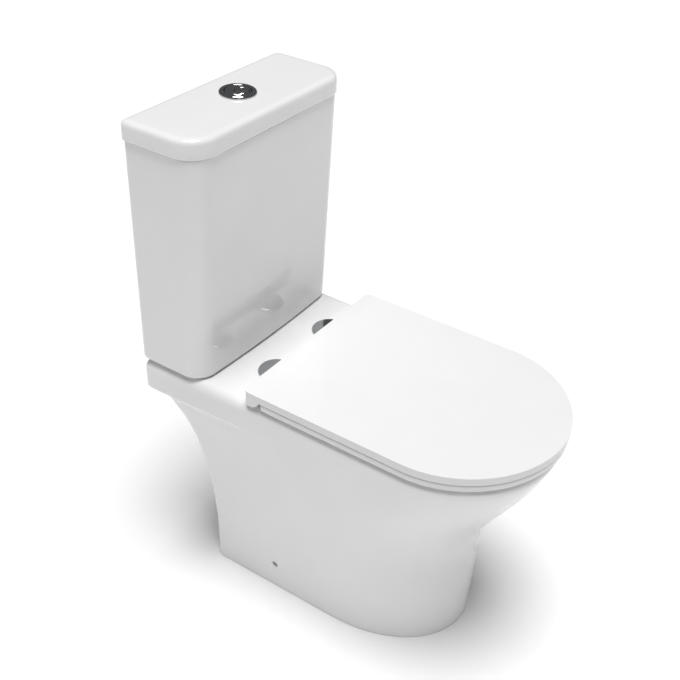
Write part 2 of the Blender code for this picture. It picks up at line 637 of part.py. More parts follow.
def make_cistern():
    """The open-topped tank, with its holes for the two valves and the two coupling bolts."""
    rings = []
    for index in range(4):
        angle = math.pi / 2 * index / 4
        height = CISTERN_BOTTOM + CISTERN_BOTTOM_RADIUS * (1 - math.sin(angle))
        rings.insert(0, (height, CISTERN_BOTTOM_RADIUS * (1 - math.cos(angle))))
    rings.insert(0, (CISTERN_BOTTOM, CISTERN_BOTTOM_RADIUS))
    rings += [(CISTERN_BOTTOM + (CISTERN_TOP - CISTERN_BOTTOM) * share, 0.0) for share in (0.35, 0.7, 1.0)]
    tank = loft("cistern", [level(tank_outline(height, inset), height) for height, inset in rings], glaze)
    inner = [(CISTERN_FLOOR, CISTERN_WALL + 0.006), (CISTERN_FLOOR + 0.006, CISTERN_WALL),
             (CISTERN_TOP + 0.01, CISTERN_WALL)]
    cut(tank, loft("tank_hollow", [level(tank_outline(height, inset), height) for height, inset in inner]))
    low, high = CISTERN_BOTTOM - 0.01, CISTERN_FLOOR + 0.01
    holes = [("flush_hole", 0.0, BUTTON_FORWARD, VALVE_SHANK_RADIUS + 0.0015),
             ("fill_hole", FILL_ACROSS, FILL_FORWARD, FILL_TUBE_RADIUS + 0.0015),
             ("tank_bolt_left", -COUPLING_SPACING / 2, BUTTON_FORWARD, COUPLING_RADIUS + 0.002),
             ("tank_bolt_right", COUPLING_SPACING / 2, BUTTON_FORWARD, COUPLING_RADIUS + 0.002)]
    for name, across, forward, radius in holes:
        cut(tank, rod(name, (across, forward, low), (across, forward, high), radius))


def make_cistern_lid():
    """The lid: a shallow cap that rests on the tank's rim and overhangs it a little."""
    half_width = CISTERN_HALF_WIDTH + LID_OVERHANG
    front = CISTERN_DEPTH + LID_OVERHANG
    front_radius = CISTERN_CORNER_RADIUS + LID_OVERHANG
    levels = [(CISTERN_LID_BOTTOM, 0.0015), (CISTERN_LID_BOTTOM + 0.0015, 0.0)]
    for index in range(5):
        angle = math.pi / 2 * index / 4
        levels.append((CISTERN_LID_TOP - CISTERN_LID_EDGE * (1 - math.sin(angle)),
                       CISTERN_LID_EDGE * (1 - math.cos(angle))))

    def outline(inset):
        rear_radius = max(CISTERN_REAR_RADIUS - inset, 0.003)
        return box_outline(half_width - inset, inset, front - inset, rear_radius, front_radius - inset)

    lid = loft("cistern_lid", [level(outline(inset), height) for height, inset in levels], glaze)
    hollow = [(CISTERN_LID_BOTTOM - OVERCUT, CISTERN_LID_WALL), (CISTERN_LID_TOP - CISTERN_LID_WALL, CISTERN_LID_WALL)]
    cut(lid, loft("lid_hollow", [level(outline(inset), height) for height, inset in hollow]))
    cut(lid, rod("button_hole", (0, BUTTON_FORWARD, CISTERN_LID_BOTTOM), (0, BUTTON_FORWARD, CISTERN_LID_TOP + 0.01),
                 BUTTON_RADIUS + BUTTON_SLEEVE_WALL + 0.0012, segments=32))


# ---------------------------------------------------------------- dual flush button
def make_buttons():
    """A chrome bezel screwed down on the lid, with the full and the half flush buttons in it."""
    base = CISTERN_LID_TOP + TOUCH
    top = base + BEZEL_HEIGHT
    bore = BUTTON_RADIUS + RUNNING
    sleeve = BUTTON_RADIUS + BUTTON_SLEEVE_WALL
    sleeve_bottom = CISTERN_LID_BOTTOM + 0.004
    bezel = [(bore + 0.0015, top), (BEZEL_RADIUS - 0.003, top - 0.0006), (BEZEL_RADIUS, base + 0.0012),
             (BEZEL_RADIUS, base), (sleeve, base), (sleeve, sleeve_bottom), (bore, sleeve_bottom),
             (bore, top - 0.0015)]
    turned("button_bezel", bezel, 0, BUTTON_FORWARD, chrome)
    nut_top = CISTERN_LID_TOP - CISTERN_LID_WALL - TOUCH
    ring("button_back_nut", sleeve + TOUCH, BEZEL_RADIUS + 0.001, nut_top - 0.006, nut_top, 0, BUTTON_FORWARD,
         white_plastic)

    half_forward = BUTTON_FORWARD + HALF_BUTTON_OFFSET
    skirt = sleeve_bottom + BUTTON_TRAVEL + 0.002
    dome = [(0, top + 0.0012), (BUTTON_RADIUS * 0.6, top + 0.0007), (BUTTON_RADIUS - 0.001, top - 0.0008),
            (BUTTON_RADIUS, top - 0.002), (BUTTON_RADIUS, skirt), (0, skirt)]
    full = turned("full_flush_button", dome, 0, BUTTON_FORWARD, chrome)
    cut(full, rod("half_button_well", (0, half_forward, skirt - 0.01), (0, half_forward, top + 0.01),
                  HALF_BUTTON_RADIUS + RUNNING))
    small = [(0, top + 0.0006), (HALF_BUTTON_RADIUS * 0.7, top + 0.0002), (HALF_BUTTON_RADIUS, top - 0.0012),
             (HALF_BUTTON_RADIUS, skirt), (0, skirt)]
    half = turned("half_flush_button", small, 0, half_forward, chrome, steps=24)

    rod_end = TOWER_TOP + BUTTON_TRAVEL + 0.001
    full_forward = BUTTON_FORWARD - BUTTON_RADIUS * 0.6
    full_rod = rod("full_push_rod", (0, full_forward, rod_end), (0, full_forward, skirt - TOUCH),
                   PUSH_ROD_RADIUS, blue_plastic, segments=12)
    half_rod = rod("half_push_rod", (0, half_forward, rod_end), (0, half_forward, skirt - TOUCH),
                   PUSH_ROD_RADIUS, blue_plastic, segments=12)
    hang("full_flush_slide", (0, BUTTON_FORWARD, top), [full, full_rod])
    hang("half_flush_slide", (0, half_forward, top), [half, half_rod])


# ---------------------------------------------------------------- flush valve
def make_flush_valve():
    """The outlet valve: base with its threaded shank, tower, lifting overflow tube and seal."""
    floor = CISTERN_FLOOR + TOUCH
    seat_height = floor + VALVE_BASE_HEIGHT
    shank_bore = VALVE_SHANK_RADIUS - VALVE_SHANK_WALL
    shank_bottom = CISTERN_BOTTOM - VALVE_SHANK_LENGTH
    base = [(VALVE_BASE_RADIUS, seat_height), (VALVE_BASE_RADIUS, floor), (VALVE_SHANK_RADIUS, floor),
            (VALVE_SHANK_RADIUS, shank_bottom), (shank_bore, shank_bottom), (shank_bore, floor + 0.012),
            (VALVE_BASE_RADIUS - 0.004, floor + 0.012), (VALVE_BASE_RADIUS - 0.004, seat_height)]
    turned("flush_valve_base", base, 0, BUTTON_FORWARD, grey_plastic)

    tower_bottom = seat_height + TOUCH
    inner = TOWER_RADIUS - TOWER_WALL
    neck_inner = TOWER_NECK_RADIUS - TOWER_WALL
    profile = [(TOWER_NECK_RADIUS, TOWER_TOP), (TOWER_NECK_RADIUS, TOWER_SHOULDER + 0.010),
               (TOWER_RADIUS, TOWER_SHOULDER), (TOWER_RADIUS, tower_bottom), (inner, tower_bottom),
               (inner, TOWER_SHOULDER - 0.002), (neck_inner, TOWER_SHOULDER + 0.008),
               (neck_inner, TOWER_TOP)]
    tower = turned("flush_valve_tower", profile, 0, BUTTON_FORWARD, white_plastic)
    window_low = tower_bottom + 0.008
    window_high = window_low + 0.045
    window_half_width = 0.010
    reach = TOWER_RADIUS + OVERCUT
    for index, (width, depth) in enumerate(((reach, window_half_width), (window_half_width, reach))):
        cut(tower, block(f"water_window_{index}", (-width, BUTTON_FORWARD - depth, window_low),
                         (width, BUTTON_FORWARD + depth, window_high)))

    seal_bottom = floor + 0.012 + TOUCH
    seal_top = seal_bottom + 0.005
    seal = ring("flush_seal", OVERFLOW_RADIUS + TOUCH, VALVE_BASE_RADIUS - 0.0065, seal_bottom, seal_top,
                0, BUTTON_FORWARD, rubber)
    tube_profile = [(OVERFLOW_RADIUS, OVERFLOW_TOP), (OVERFLOW_RADIUS, seal_top + 0.004),
                    (OVERFLOW_RADIUS + 0.008, seal_top + 0.004), (OVERFLOW_RADIUS + 0.008, seal_top + TOUCH),
                    (OVERFLOW_RADIUS, seal_top + TOUCH), (OVERFLOW_RADIUS, seal_bottom),
                    (OVERFLOW_RADIUS - OVERFLOW_WALL, seal_bottom),
                    (OVERFLOW_RADIUS - OVERFLOW_WALL, OVERFLOW_TOP)]
    overflow = turned("overflow_tube", tube_profile, 0, BUTTON_FORWARD, blue_plastic, steps=20)
    hang("flush_core_lift", (0, BUTTON_FORWARD, seal_bottom), [overflow, seal])

    nut_top = CISTERN_BOTTOM - TOUCH
    ring("flush_valve_back_nut", VALVE_SHANK_RADIUS + TOUCH, BACK_NUT_RADIUS, nut_top - BACK_NUT_HEIGHT, nut_top,
         0, BUTTON_FORWARD, grey_plastic)
    washer_top = nut_top - BACK_NUT_HEIGHT - TOUCH
    ring("doughnut_washer", VALVE_SHANK_RADIUS + TOUCH, BACK_NUT_RADIUS + 0.004, DUCT_TOP - 0.002 + TOUCH,
         washer_top, 0, BUTTON_FORWARD, rubber)


# ---------------------------------------------------------------- fill valve
def make_fill_valve():
    """The bottom-entry inlet valve: riser, head, lever, and a cup float that slides on the riser."""
    floor = CISTERN_FLOOR + TOUCH
    washer_top = floor + 0.003
    flange_bottom = washer_top + TOUCH
    water_bore = FILL_TUBE_RADIUS - FILL_TUBE_WALL
    riser = [(FILL_TUBE_RADIUS, FILL_HEAD_BOTTOM - TOUCH), (FILL_TUBE_RADIUS, flange_bottom + 0.005),
             (FILL_TUBE_RADIUS + 0.007, flange_bottom + 0.005), (FILL_TUBE_RADIUS + 0.007, flange_bottom),
             (FILL_TUBE_RADIUS, flange_bottom), (FILL_TUBE_RADIUS, FILL_TAIL_BOTTOM),
             (water_bore, FILL_TAIL_BOTTOM), (water_bore, FILL_HEAD_BOTTOM - TOUCH)]
    turned("fill_valve_riser", riser, FILL_ACROSS, FILL_FORWARD, white_plastic, steps=16)
    ring("fill_valve_washer", FILL_TUBE_RADIUS + TOUCH, FILL_TUBE_RADIUS + 0.007, floor, washer_top,
         FILL_ACROSS, FILL_FORWARD, rubber, steps=16)
    nut_top = CISTERN_BOTTOM - TOUCH
    hex_nut("fill_valve_back_nut", 0.030, FILL_TUBE_RADIUS + TOUCH, nut_top - 0.009, nut_top,
            FILL_ACROSS, FILL_FORWARD, white_plastic)

    head_top = FILL_HEAD_BOTTOM + FILL_HEAD_HEIGHT
    head = [(0, head_top), (FILL_HEAD_RADIUS - 0.002, head_top), (FILL_HEAD_RADIUS, head_top - 0.003),
            (FILL_HEAD_RADIUS, FILL_HEAD_BOTTOM), (0, FILL_HEAD_BOTTOM)]
    valve_head = turned("fill_valve_head", head, FILL_ACROSS, FILL_FORWARD, blue_plastic, steps=16)

    pivot_height = head_top + LEVER_LIFT
    lever_top = pivot_height + LEVER_THICKNESS / 2
    slot_half_width = FLOAT_ROD_RADIUS + 0.0010
    lever = block("fill_lever", (FILL_ACROSS - 0.010, FILL_FORWARD - LEVER_HALF_WIDTH, lever_top - LEVER_THICKNESS),
                  (FILL_ACROSS + LEVER_REACH + 0.005, FILL_FORWARD + LEVER_HALF_WIDTH, lever_top), grey_plastic)
    cut(lever, block("lever_slot", (FILL_ACROSS + LEVER_REACH - 0.006, FILL_FORWARD - slot_half_width,
                                    pivot_height - OVERCUT),
                     (FILL_ACROSS + LEVER_REACH + OVERCUT, FILL_FORWARD + slot_half_width,
                      pivot_height + OVERCUT)))
    cut(lever, rod("lever_knuckle", (FILL_ACROSS, FILL_FORWARD - LEVER_HALF_WIDTH, pivot_height),
                   (FILL_ACROSS, FILL_FORWARD + LEVER_HALF_WIDTH, pivot_height), LEVER_PIN_RADIUS + 0.0018), "UNION")
    cut(lever, rod("lever_bore", (FILL_ACROSS, FILL_FORWARD - OVERCUT, pivot_height),
                   (FILL_ACROSS, FILL_FORWARD + OVERCUT, pivot_height), LEVER_PIN_RADIUS + RUNNING))
    ear_inside = LEVER_HALF_WIDTH + RUNNING
    for end in (-1, 1):
        cut(valve_head, block(f"lever_ear_{end + 1}",
                              (FILL_ACROSS - 0.003, FILL_FORWARD + end * ear_inside, head_top - 0.002),
                              (FILL_ACROSS + 0.003, FILL_FORWARD + end * (ear_inside + 0.002),
                               pivot_height + 0.003)), "UNION")
    cut(valve_head, rod("lever_pin", (FILL_ACROSS, FILL_FORWARD - ear_inside - 0.001, pivot_height),
                        (FILL_ACROSS, FILL_FORWARD + ear_inside + 0.001, pivot_height), LEVER_PIN_RADIUS,
                        segments=12), "UNION")
    hang("fill_lever_pivot", (FILL_ACROSS, FILL_FORWARD, pivot_height), [lever])

    float_top = FLOAT_BOTTOM + FLOAT_HEIGHT
    bore = FILL_TUBE_RADIUS + RUNNING * 2
    cup_profile = [(FLOAT_RADIUS, float_top), (FLOAT_RADIUS, FLOAT_BOTTOM), (FLOAT_RADIUS - FLOAT_WALL, FLOAT_BOTTOM),
                   (FLOAT_RADIUS - FLOAT_WALL, float_top - 0.003), (bore + FLOAT_WALL, float_top - 0.003),
                   (bore + FLOAT_WALL, FLOAT_BOTTOM), (bore, FLOAT_BOTTOM), (bore, float_top)]
    cup = turned("float_cup", cup_profile, FILL_ACROSS, FILL_FORWARD, grey_plastic, steps=20)
    rod_across = FILL_ACROSS + LEVER_REACH
    ear = block("float_ear", (FILL_ACROSS + FLOAT_RADIUS - 0.004, FILL_FORWARD - 0.005, float_top - 0.0025),
                (rod_across + 0.006, FILL_FORWARD + 0.005, float_top - 0.0005))
    cut(cup, ear, "UNION")
    head_gap = lever_top + 0.001
    link_profile = [(0, head_gap + 0.002), (0.004, head_gap + 0.002), (0.004, head_gap),
                    (FLOAT_ROD_RADIUS, head_gap), (FLOAT_ROD_RADIUS, float_top - 0.0005 + TOUCH),
                    (0, float_top - 0.0005 + TOUCH)]
    link = turned("float_rod", link_profile, rod_across, FILL_FORWARD, steel, steps=12)
    hang("float_slide", (FILL_ACROSS, FILL_FORWARD, FLOAT_BOTTOM), [cup, link])


# ---------------------------------------------------------------- coupling bolts
def make_coupling():
    """Two bolts through the tank's floor and the pan's shelf, with cone washers and wing nuts."""
    for side in (-1, 1):
        tag = "left" if side < 0 else "right"
        across = side * COUPLING_SPACING / 2
        floor = CISTERN_FLOOR + TOUCH
        washer_top = floor + 0.004
        ring("coupling_washer_" + tag, COUPLING_RADIUS + TOUCH, COUPLING_NUT_RADIUS, floor, washer_top, across,
             BUTTON_FORWARD, rubber, steps=16)
        head_bottom = washer_top + TOUCH
        bolt_bottom = SHELF_PLATE_BOTTOM - COUPLING_TAIL
        bolt = [(0, head_bottom + 0.004), (COUPLING_HEAD_RADIUS - 0.003, head_bottom + 0.004),
                (COUPLING_HEAD_RADIUS, head_bottom + 0.001), (COUPLING_HEAD_RADIUS, head_bottom), (COUPLING_RADIUS, head_bottom), (COUPLING_RADIUS, bolt_bottom),
                (0, bolt_bottom)]
        turned("coupling_bolt_" + tag, bolt, across, BUTTON_FORWARD, brass, steps=16)
        nut_top = SHELF_PLATE_BOTTOM - TOUCH
        nut = ring("coupling_wing_nut_" + tag, COUPLING_RADIUS + TOUCH, COUPLING_NUT_RADIUS, nut_top - 0.009, nut_top,
                   across, BUTTON_FORWARD, white_plastic, steps=16)
        for wing in (-1, 1):
            cut(nut, block(f"wing_{tag}_{wing + 1}",
                           (across - 0.0015, BUTTON_FORWARD + wing * 0.008, nut_top - 0.016),
                           (across + 0.0015, BUTTON_FORWARD + wing * 0.021, nut_top - 0.003)), "UNION")


# ---------------------------------------------------------------- seat and its lid
def seat_outline(inset=0.0):
    """The seat's D-shaped plan."""
    half_width = SEAT_HALF_WIDTH - inset
    rear = SEAT_REAR + inset
    front = OVERALL_DEPTH - inset
    half = [(0.0, rear)]
    half += corner(half_width - SEAT_CORNER_RADIUS, rear + SEAT_CORNER_RADIUS, SEAT_CORNER_RADIUS, -90, 0, 4)
    half += superellipse(half_width, SEAT_STRAIGHT_TO, front, SEAT_ROUNDNESS, 14)
    return mirrored(half)


def plan(outline):
    """A plan outline as (x, y) points."""
    return [(x, at(forward)) for x, forward in outline]


def ring_hole_outline():
    """The egg-shaped opening of the seat ring."""
    middle = RING_HOLE_REAR + (RING_HOLE_FRONT - RING_HOLE_REAR) * 0.42
    half = []
    for index in range(15):
        angle = math.pi * index / 14
        reach = middle - RING_HOLE_REAR if index < 7 else RING_HOLE_FRONT - middle
        x = 0.0 if index in (0, 14) else RING_HOLE_HALF_WIDTH * math.sin(angle)
        half.append((x, middle - reach * math.cos(angle)))
    return mirrored(half)


def buffer_places():
    """Where the rubber buffers stand, halfway between the ring's hole and its outer edge."""
    rear_forward = RING_HOLE_REAR + 0.040
    front_forward = RING_HOLE_FRONT - 0.055
    share = (front_forward - SEAT_STRAIGHT_TO) / (OVERALL_DEPTH - SEAT_STRAIGHT_TO)
    front_half = SEAT_HALF_WIDTH * (1 - share ** SEAT_ROUNDNESS) ** (1 / SEAT_ROUNDNESS)
    rear_across = (SEAT_HALF_WIDTH + RING_HOLE_HALF_WIDTH) / 2
    front_across = (front_half + RING_HOLE_HALF_WIDTH) / 2 - 0.010
    return [(-rear_across, rear_forward), (rear_across, rear_forward),
            (-front_across, front_forward), (front_across, front_forward)]


def make_seat():
    """The seat ring and its lid on one axis, each with four rubber buffers."""
    axis = (0.0, AXIS_FORWARD, AXIS_HEIGHT)
    lobe_bottom = AXIS_HEIGHT - LOBE_RADIUS
    wide = SEAT_HALF_WIDTH + 0.01

    lid = prism("seat_lid", plan(seat_outline()), lobe_bottom - 0.0005, SEAT_LID_TOP, seat_plastic, SEAT_EDGE)
    under = block("lid_undercut", (-wide, SEAT_REAR - 0.01, lobe_bottom - 0.01),
                  (wide, OVERALL_DEPTH + 0.01, SEAT_LID_BOTTOM))
    cut(under, rod("lobe", (-wide - 0.01, *axis[1:]), (wide + 0.01, *axis[1:]), LOBE_RADIUS, segments=32))
    cut(lid, under)
    cut(lid, block("lid_between_lobes", (-LOBE_INNER_END, SEAT_REAR - 0.02, lobe_bottom - 0.02),
                   (LOBE_INNER_END, AXIS_FORWARD + LOBE_RADIUS + 0.01, SEAT_LID_BOTTOM + 0.00001)))

    ring_piece = prism("seat_ring", plan(seat_outline(RING_INSET)), RING_BOTTOM, RING_TOP, seat_plastic, SEAT_EDGE)
    cut(ring_piece, prism("ring_opening", plan(ring_hole_outline()), RING_BOTTOM - 0.01, RING_TOP + 0.01))
    cut(ring_piece, rod("lobe_clearance", (-wide, *axis[1:]), (wide, *axis[1:]), LOBE_RADIUS + LOBE_CLEARANCE, segments=32))
    cut(ring_piece, block("ring_rear_cut", (-wide, SEAT_REAR - 0.01, RING_BOTTOM - 0.01),
                          (wide, AXIS_FORWARD, RING_TOP + 0.01)))
    rosette_front = ROSETTE_FORWARD + ROSETTE_RADIUS
    cut(ring_piece, block("ring_hinge_cut", (-LOBE_INNER_END + 0.002, SEAT_REAR - 0.02, RING_BOTTOM - 0.02),
                          (LOBE_INNER_END - 0.002, rosette_front + 0.003, RING_TOP + 0.02)))

    dampers = []
    pins = []
    for side in (-1, 1):
        tag = "left" if side < 0 else "right"
        pocket_roof = SEAT_LID_TOP - POCKET_SKIN
        low = (min(side * POCKET_INNER, side * POCKET_OUTER), SEAT_REAR - 0.02, SEAT_LID_BOTTOM - 0.01)
        high = (max(side * POCKET_INNER, side * POCKET_OUTER), AXIS_FORWARD + 0.0085, pocket_roof)
        cut(lid, block("hinge_pocket_" + tag, low, high))
        bore_end = side * (LOBE_INNER_END + DAMPER_LENGTH + 0.003)
        cut(lid, rod("damper_bore_" + tag, (side * (POCKET_OUTER - 0.002), *axis[1:]), (bore_end, *axis[1:]),
                     DAMPER_RADIUS + TOUCH))
        lug_low = side * LUG_INNER
        lug_high = side * (LUG_INNER + LUG_WIDTH)
        cut(ring_piece, rod("lug_" + tag, (lug_low, *axis[1:]), (lug_high, *axis[1:]), LUG_RADIUS), "UNION")
        arm_rear = AXIS_FORWARD - LUG_RADIUS * 0.6
        arm_front = AXIS_FORWARD + LOBE_RADIUS + 0.006
        cut(ring_piece, block("lug_arm_" + tag, (min(lug_low, lug_high), arm_rear, RING_TOP - 0.0055),
                              (max(lug_low, lug_high), arm_front, RING_TOP - 0.0004)), "UNION")
        cut(ring_piece, block("lug_web_" + tag, (min(lug_low, lug_high), arm_rear, RING_TOP - 0.0030),
                              (max(lug_low, lug_high), AXIS_FORWARD + LUG_RADIUS * 0.6, AXIS_HEIGHT)), "UNION")
        cut(ring_piece, rod("lug_bore_" + tag, (side * (LUG_INNER - 0.004), *axis[1:]),
                            (side * (LUG_INNER + LUG_WIDTH + 0.004), *axis[1:]), PIN_RADIUS + RUNNING))

        damper_start = side * (LOBE_INNER_END + 0.002)
        damper_end = side * (LOBE_INNER_END + 0.002 + DAMPER_LENGTH)
        damper = rod("soft_close_damper_" + tag, (damper_start, *axis[1:]), (damper_end, *axis[1:]),
                     DAMPER_RADIUS, grey_plastic)
        cut(damper, rod("damper_socket_" + tag, (side * LOBE_INNER_END, *axis[1:]),
                        (side * (LOBE_INNER_END + 0.016), *axis[1:]), PIN_RADIUS + RUNNING))
        dampers.append(damper)
        pins.append(rod("hinge_pin_" + tag, (side * (POCKET_INNER + 0.002), *axis[1:]),
                        (side * (LOBE_INNER_END + 0.014), *axis[1:]), PIN_RADIUS, steel, segments=12))

    seat_buffers = []
    lid_buffers = []
    for index, (across, forward) in enumerate(buffer_places(), start=1):
        seat_buffers.append(rod(f"seat_buffer_{index}", (across, forward, RIM_HEIGHT + TOUCH),
                                (across, forward, RING_BOTTOM - TOUCH), SEAT_BUFFER_RADIUS, buffer_rubber, segments=12))
        lid_buffers.append(rod(f"lid_buffer_{index}", (across, forward, RING_TOP + TOUCH),
                               (across, forward, SEAT_LID_BOTTOM - TOUCH), LID_BUFFER_RADIUS, buffer_rubber, segments=12))
    hang("seat_hinge_axis", axis, [ring_piece] + seat_buffers)
    hang("lid_hinge_axis", axis, [lid] + lid_buffers + dampers)


def make_hinges():
    """The fixed half of each hinge: post, chrome rosette, and the stud that grips the deck."""
    for side in (-1, 1):
        tag = "left" if side < 0 else "right"
        across = side * HINGE_ACROSS
        base_bottom = RIM_HEIGHT + TOUCH
        base_top = base_bottom + HINGE_BASE_THICKNESS
        skin = ROSETTE_SKIN
        post = ring("hinge_post_" + tag, PIN_RADIUS + TOUCH, ROSETTE_RADIUS - ROSETTE_SLOPE - TOUCH * 2, base_bottom,
                    base_top, across, ROSETTE_FORWARD, steel, steps=24)
        low_x = across - POST_WIDTH / 2
        high_x = across + POST_WIDTH / 2
        cut(post, block("post_" + tag, (low_x, AXIS_FORWARD - POST_HALF_DEPTH, base_bottom + 0.0005),
                        (high_x, AXIS_FORWARD + POST_RADIUS, AXIS_HEIGHT)), "UNION")
        crown = rod("post_crown_" + tag, (low_x, AXIS_FORWARD, AXIS_HEIGHT), (high_x, AXIS_FORWARD, AXIS_HEIGHT),
                    POST_RADIUS)
        cut(post, crown, "UNION")
        cut(post, rod("post_bore_" + tag, (low_x - 0.01, AXIS_FORWARD, AXIS_HEIGHT),
                      (high_x + 0.01, AXIS_FORWARD, AXIS_HEIGHT), PIN_RADIUS + TOUCH))

        top = RIM_HEIGHT + TOUCH + ROSETTE_HEIGHT
        cap = [(0, top), (ROSETTE_RADIUS - 0.006, top - 0.0003), (ROSETTE_RADIUS - 0.0015, top - 0.0018),
               (ROSETTE_RADIUS, top - 0.0035), (ROSETTE_RADIUS, base_bottom), (ROSETTE_RADIUS - skin, base_bottom),
               (ROSETTE_RADIUS - skin, top - 0.0035), (ROSETTE_RADIUS - ROSETTE_SLOPE, top - 0.0003 - skin), (0, top - skin)]
        rosette = turned("hinge_rosette_" + tag, cap, across, ROSETTE_FORWARD, chrome, steps=28)
        cut(rosette, block("rosette_slot_" + tag, (low_x - TOUCH, AXIS_FORWARD - POST_HALF_DEPTH - TOUCH, base_bottom - 0.01),
                           (high_x + TOUCH, AXIS_FORWARD + 0.02, top + 0.01)))

        head_top = base_top + TOUCH + 0.0014
        stud_bottom = SHELF_PLATE_BOTTOM - 0.020
        stud = [(0, head_top), (0.006, head_top), (0.006, base_top + TOUCH), (PIN_RADIUS, base_top + TOUCH),
                (PIN_RADIUS, stud_bottom), (0, stud_bottom)]
        turned("hinge_stud_" + tag, stud, across, ROSETTE_FORWARD, steel, steps=12)
        ring("hinge_sleeve_" + tag, PIN_RADIUS + TOUCH, SLEEVE_RADIUS, SHELF_PLATE_BOTTOM - 0.004, RIM_HEIGHT - TOUCH,
             across, ROSETTE_FORWARD, rubber, steps=16)
        nut_top = SHELF_PLATE_BOTTOM - 0.004 - TOUCH
        hex_nut("hinge_nut_" + tag, 0.014, PIN_RADIUS + TOUCH, nut_top - 0.010, nut_top, across,
                ROSETTE_FORWARD, white_plastic)


# ---------------------------------------------------------------- floor fixing
def make_floor_fixing():
    """An angle bracket inside each side of the foot, and the screw that comes in through the side."""
    for side in (-1, 1):
        tag = "left" if side < 0 else "right"
        wall_inside = FOOT_HALF_WIDTH - WALL - TOUCH
        start = SIDE_HOLE_FORWARD - BRACKET_LENGTH / 2
        end = SIDE_HOLE_FORWARD + BRACKET_LENGTH / 2
        outer = side * (wall_inside - 0.0003)
        inner = side * (wall_inside - BRACKET_THICKNESS - 0.0003)
        toe = side * (wall_inside - BRACKET_TOE)
        top = SIDE_HOLE_HEIGHT + 0.015
        bracket = block("floor_bracket_" + tag, (min(outer, inner), start, 0.0), (max(outer, inner), end, top),
                        white_plastic)
        cut(bracket, block("bracket_toe_" + tag, (min(outer, toe), start, 0.0),
                           (max(outer, toe), end, BRACKET_THICKNESS)), "UNION")
        toe_hole = side * (wall_inside - 0.022)
        cut(bracket, rod("toe_hole_" + tag, (toe_hole, SIDE_HOLE_FORWARD, -0.01), (toe_hole, SIDE_HOLE_FORWARD, 0.02),
                         0.004))
        cut(bracket, rod("side_screw_hole_" + tag, (side * (wall_inside - 0.02), SIDE_HOLE_FORWARD, SIDE_HOLE_HEIGHT),
                         (side * (wall_inside + 0.01), SIDE_HOLE_FORWARD, SIDE_HOLE_HEIGHT), SIDE_SCREW_RADIUS + TOUCH))
        head_inner = side * (wall_inside + 0.0045)
        screw = rod("side_screw_" + tag, (side * (wall_inside - 0.014), SIDE_HOLE_FORWARD, SIDE_HOLE_HEIGHT),
                    (head_inner, SIDE_HOLE_FORWARD, SIDE_HOLE_HEIGHT), SIDE_SCREW_RADIUS, steel, segments=16)
        head = rod("side_screw_head_" + tag, (head_inner - side * 0.003, SIDE_HOLE_FORWARD, SIDE_HOLE_HEIGHT),
                   (head_inner + side * 0.001, SIDE_HOLE_FORWARD, SIDE_HOLE_HEIGHT), SIDE_HOLE_RADIUS - 0.0005)
        cut(screw, head, "UNION")


make_pan()
make_cistern()
make_cistern_lid()
make_buttons()
make_flush_valve()
make_fill_valve()
make_coupling()
make_seat()
make_hinges()
make_floor_fixing()
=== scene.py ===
"""A white glazed close coupled toilet on a pale studio floor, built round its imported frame.

Metres, +Z up, floor at z = 0, front towards -Y. The pieces come in the order in which the toilet is put
together: pan, floor fixing, cistern with its valves, cistern lid with its buttons, hinges, seat ring and lid.
"""
import json
import math

import bmesh
import bpy
from mathutils import Matrix, Vector


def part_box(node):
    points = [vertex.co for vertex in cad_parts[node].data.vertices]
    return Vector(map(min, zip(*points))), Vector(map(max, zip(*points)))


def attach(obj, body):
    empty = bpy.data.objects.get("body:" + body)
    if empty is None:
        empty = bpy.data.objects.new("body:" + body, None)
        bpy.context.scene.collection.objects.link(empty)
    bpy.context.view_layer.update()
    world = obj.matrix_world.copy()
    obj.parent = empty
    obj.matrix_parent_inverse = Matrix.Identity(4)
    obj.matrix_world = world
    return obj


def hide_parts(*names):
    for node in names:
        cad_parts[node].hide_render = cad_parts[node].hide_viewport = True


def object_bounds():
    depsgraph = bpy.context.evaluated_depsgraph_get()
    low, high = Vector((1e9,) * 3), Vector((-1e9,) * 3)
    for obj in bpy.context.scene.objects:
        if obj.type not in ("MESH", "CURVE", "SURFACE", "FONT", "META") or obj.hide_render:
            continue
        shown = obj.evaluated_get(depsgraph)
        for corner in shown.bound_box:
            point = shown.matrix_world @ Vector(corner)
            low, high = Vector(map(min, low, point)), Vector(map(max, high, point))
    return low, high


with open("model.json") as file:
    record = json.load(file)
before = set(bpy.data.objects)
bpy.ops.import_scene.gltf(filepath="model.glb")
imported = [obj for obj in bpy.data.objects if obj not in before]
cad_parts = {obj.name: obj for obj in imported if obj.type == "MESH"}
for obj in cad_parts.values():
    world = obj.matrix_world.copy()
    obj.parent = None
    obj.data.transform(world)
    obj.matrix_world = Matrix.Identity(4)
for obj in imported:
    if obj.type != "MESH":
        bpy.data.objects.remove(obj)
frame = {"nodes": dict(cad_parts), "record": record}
cad_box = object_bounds()
WALL_FACE = cad_box[1].y           # the plane of the wall that the cistern stands against


def at(forward):
    """The y of a place that far in front of the wall."""
    return WALL_FACE - forward


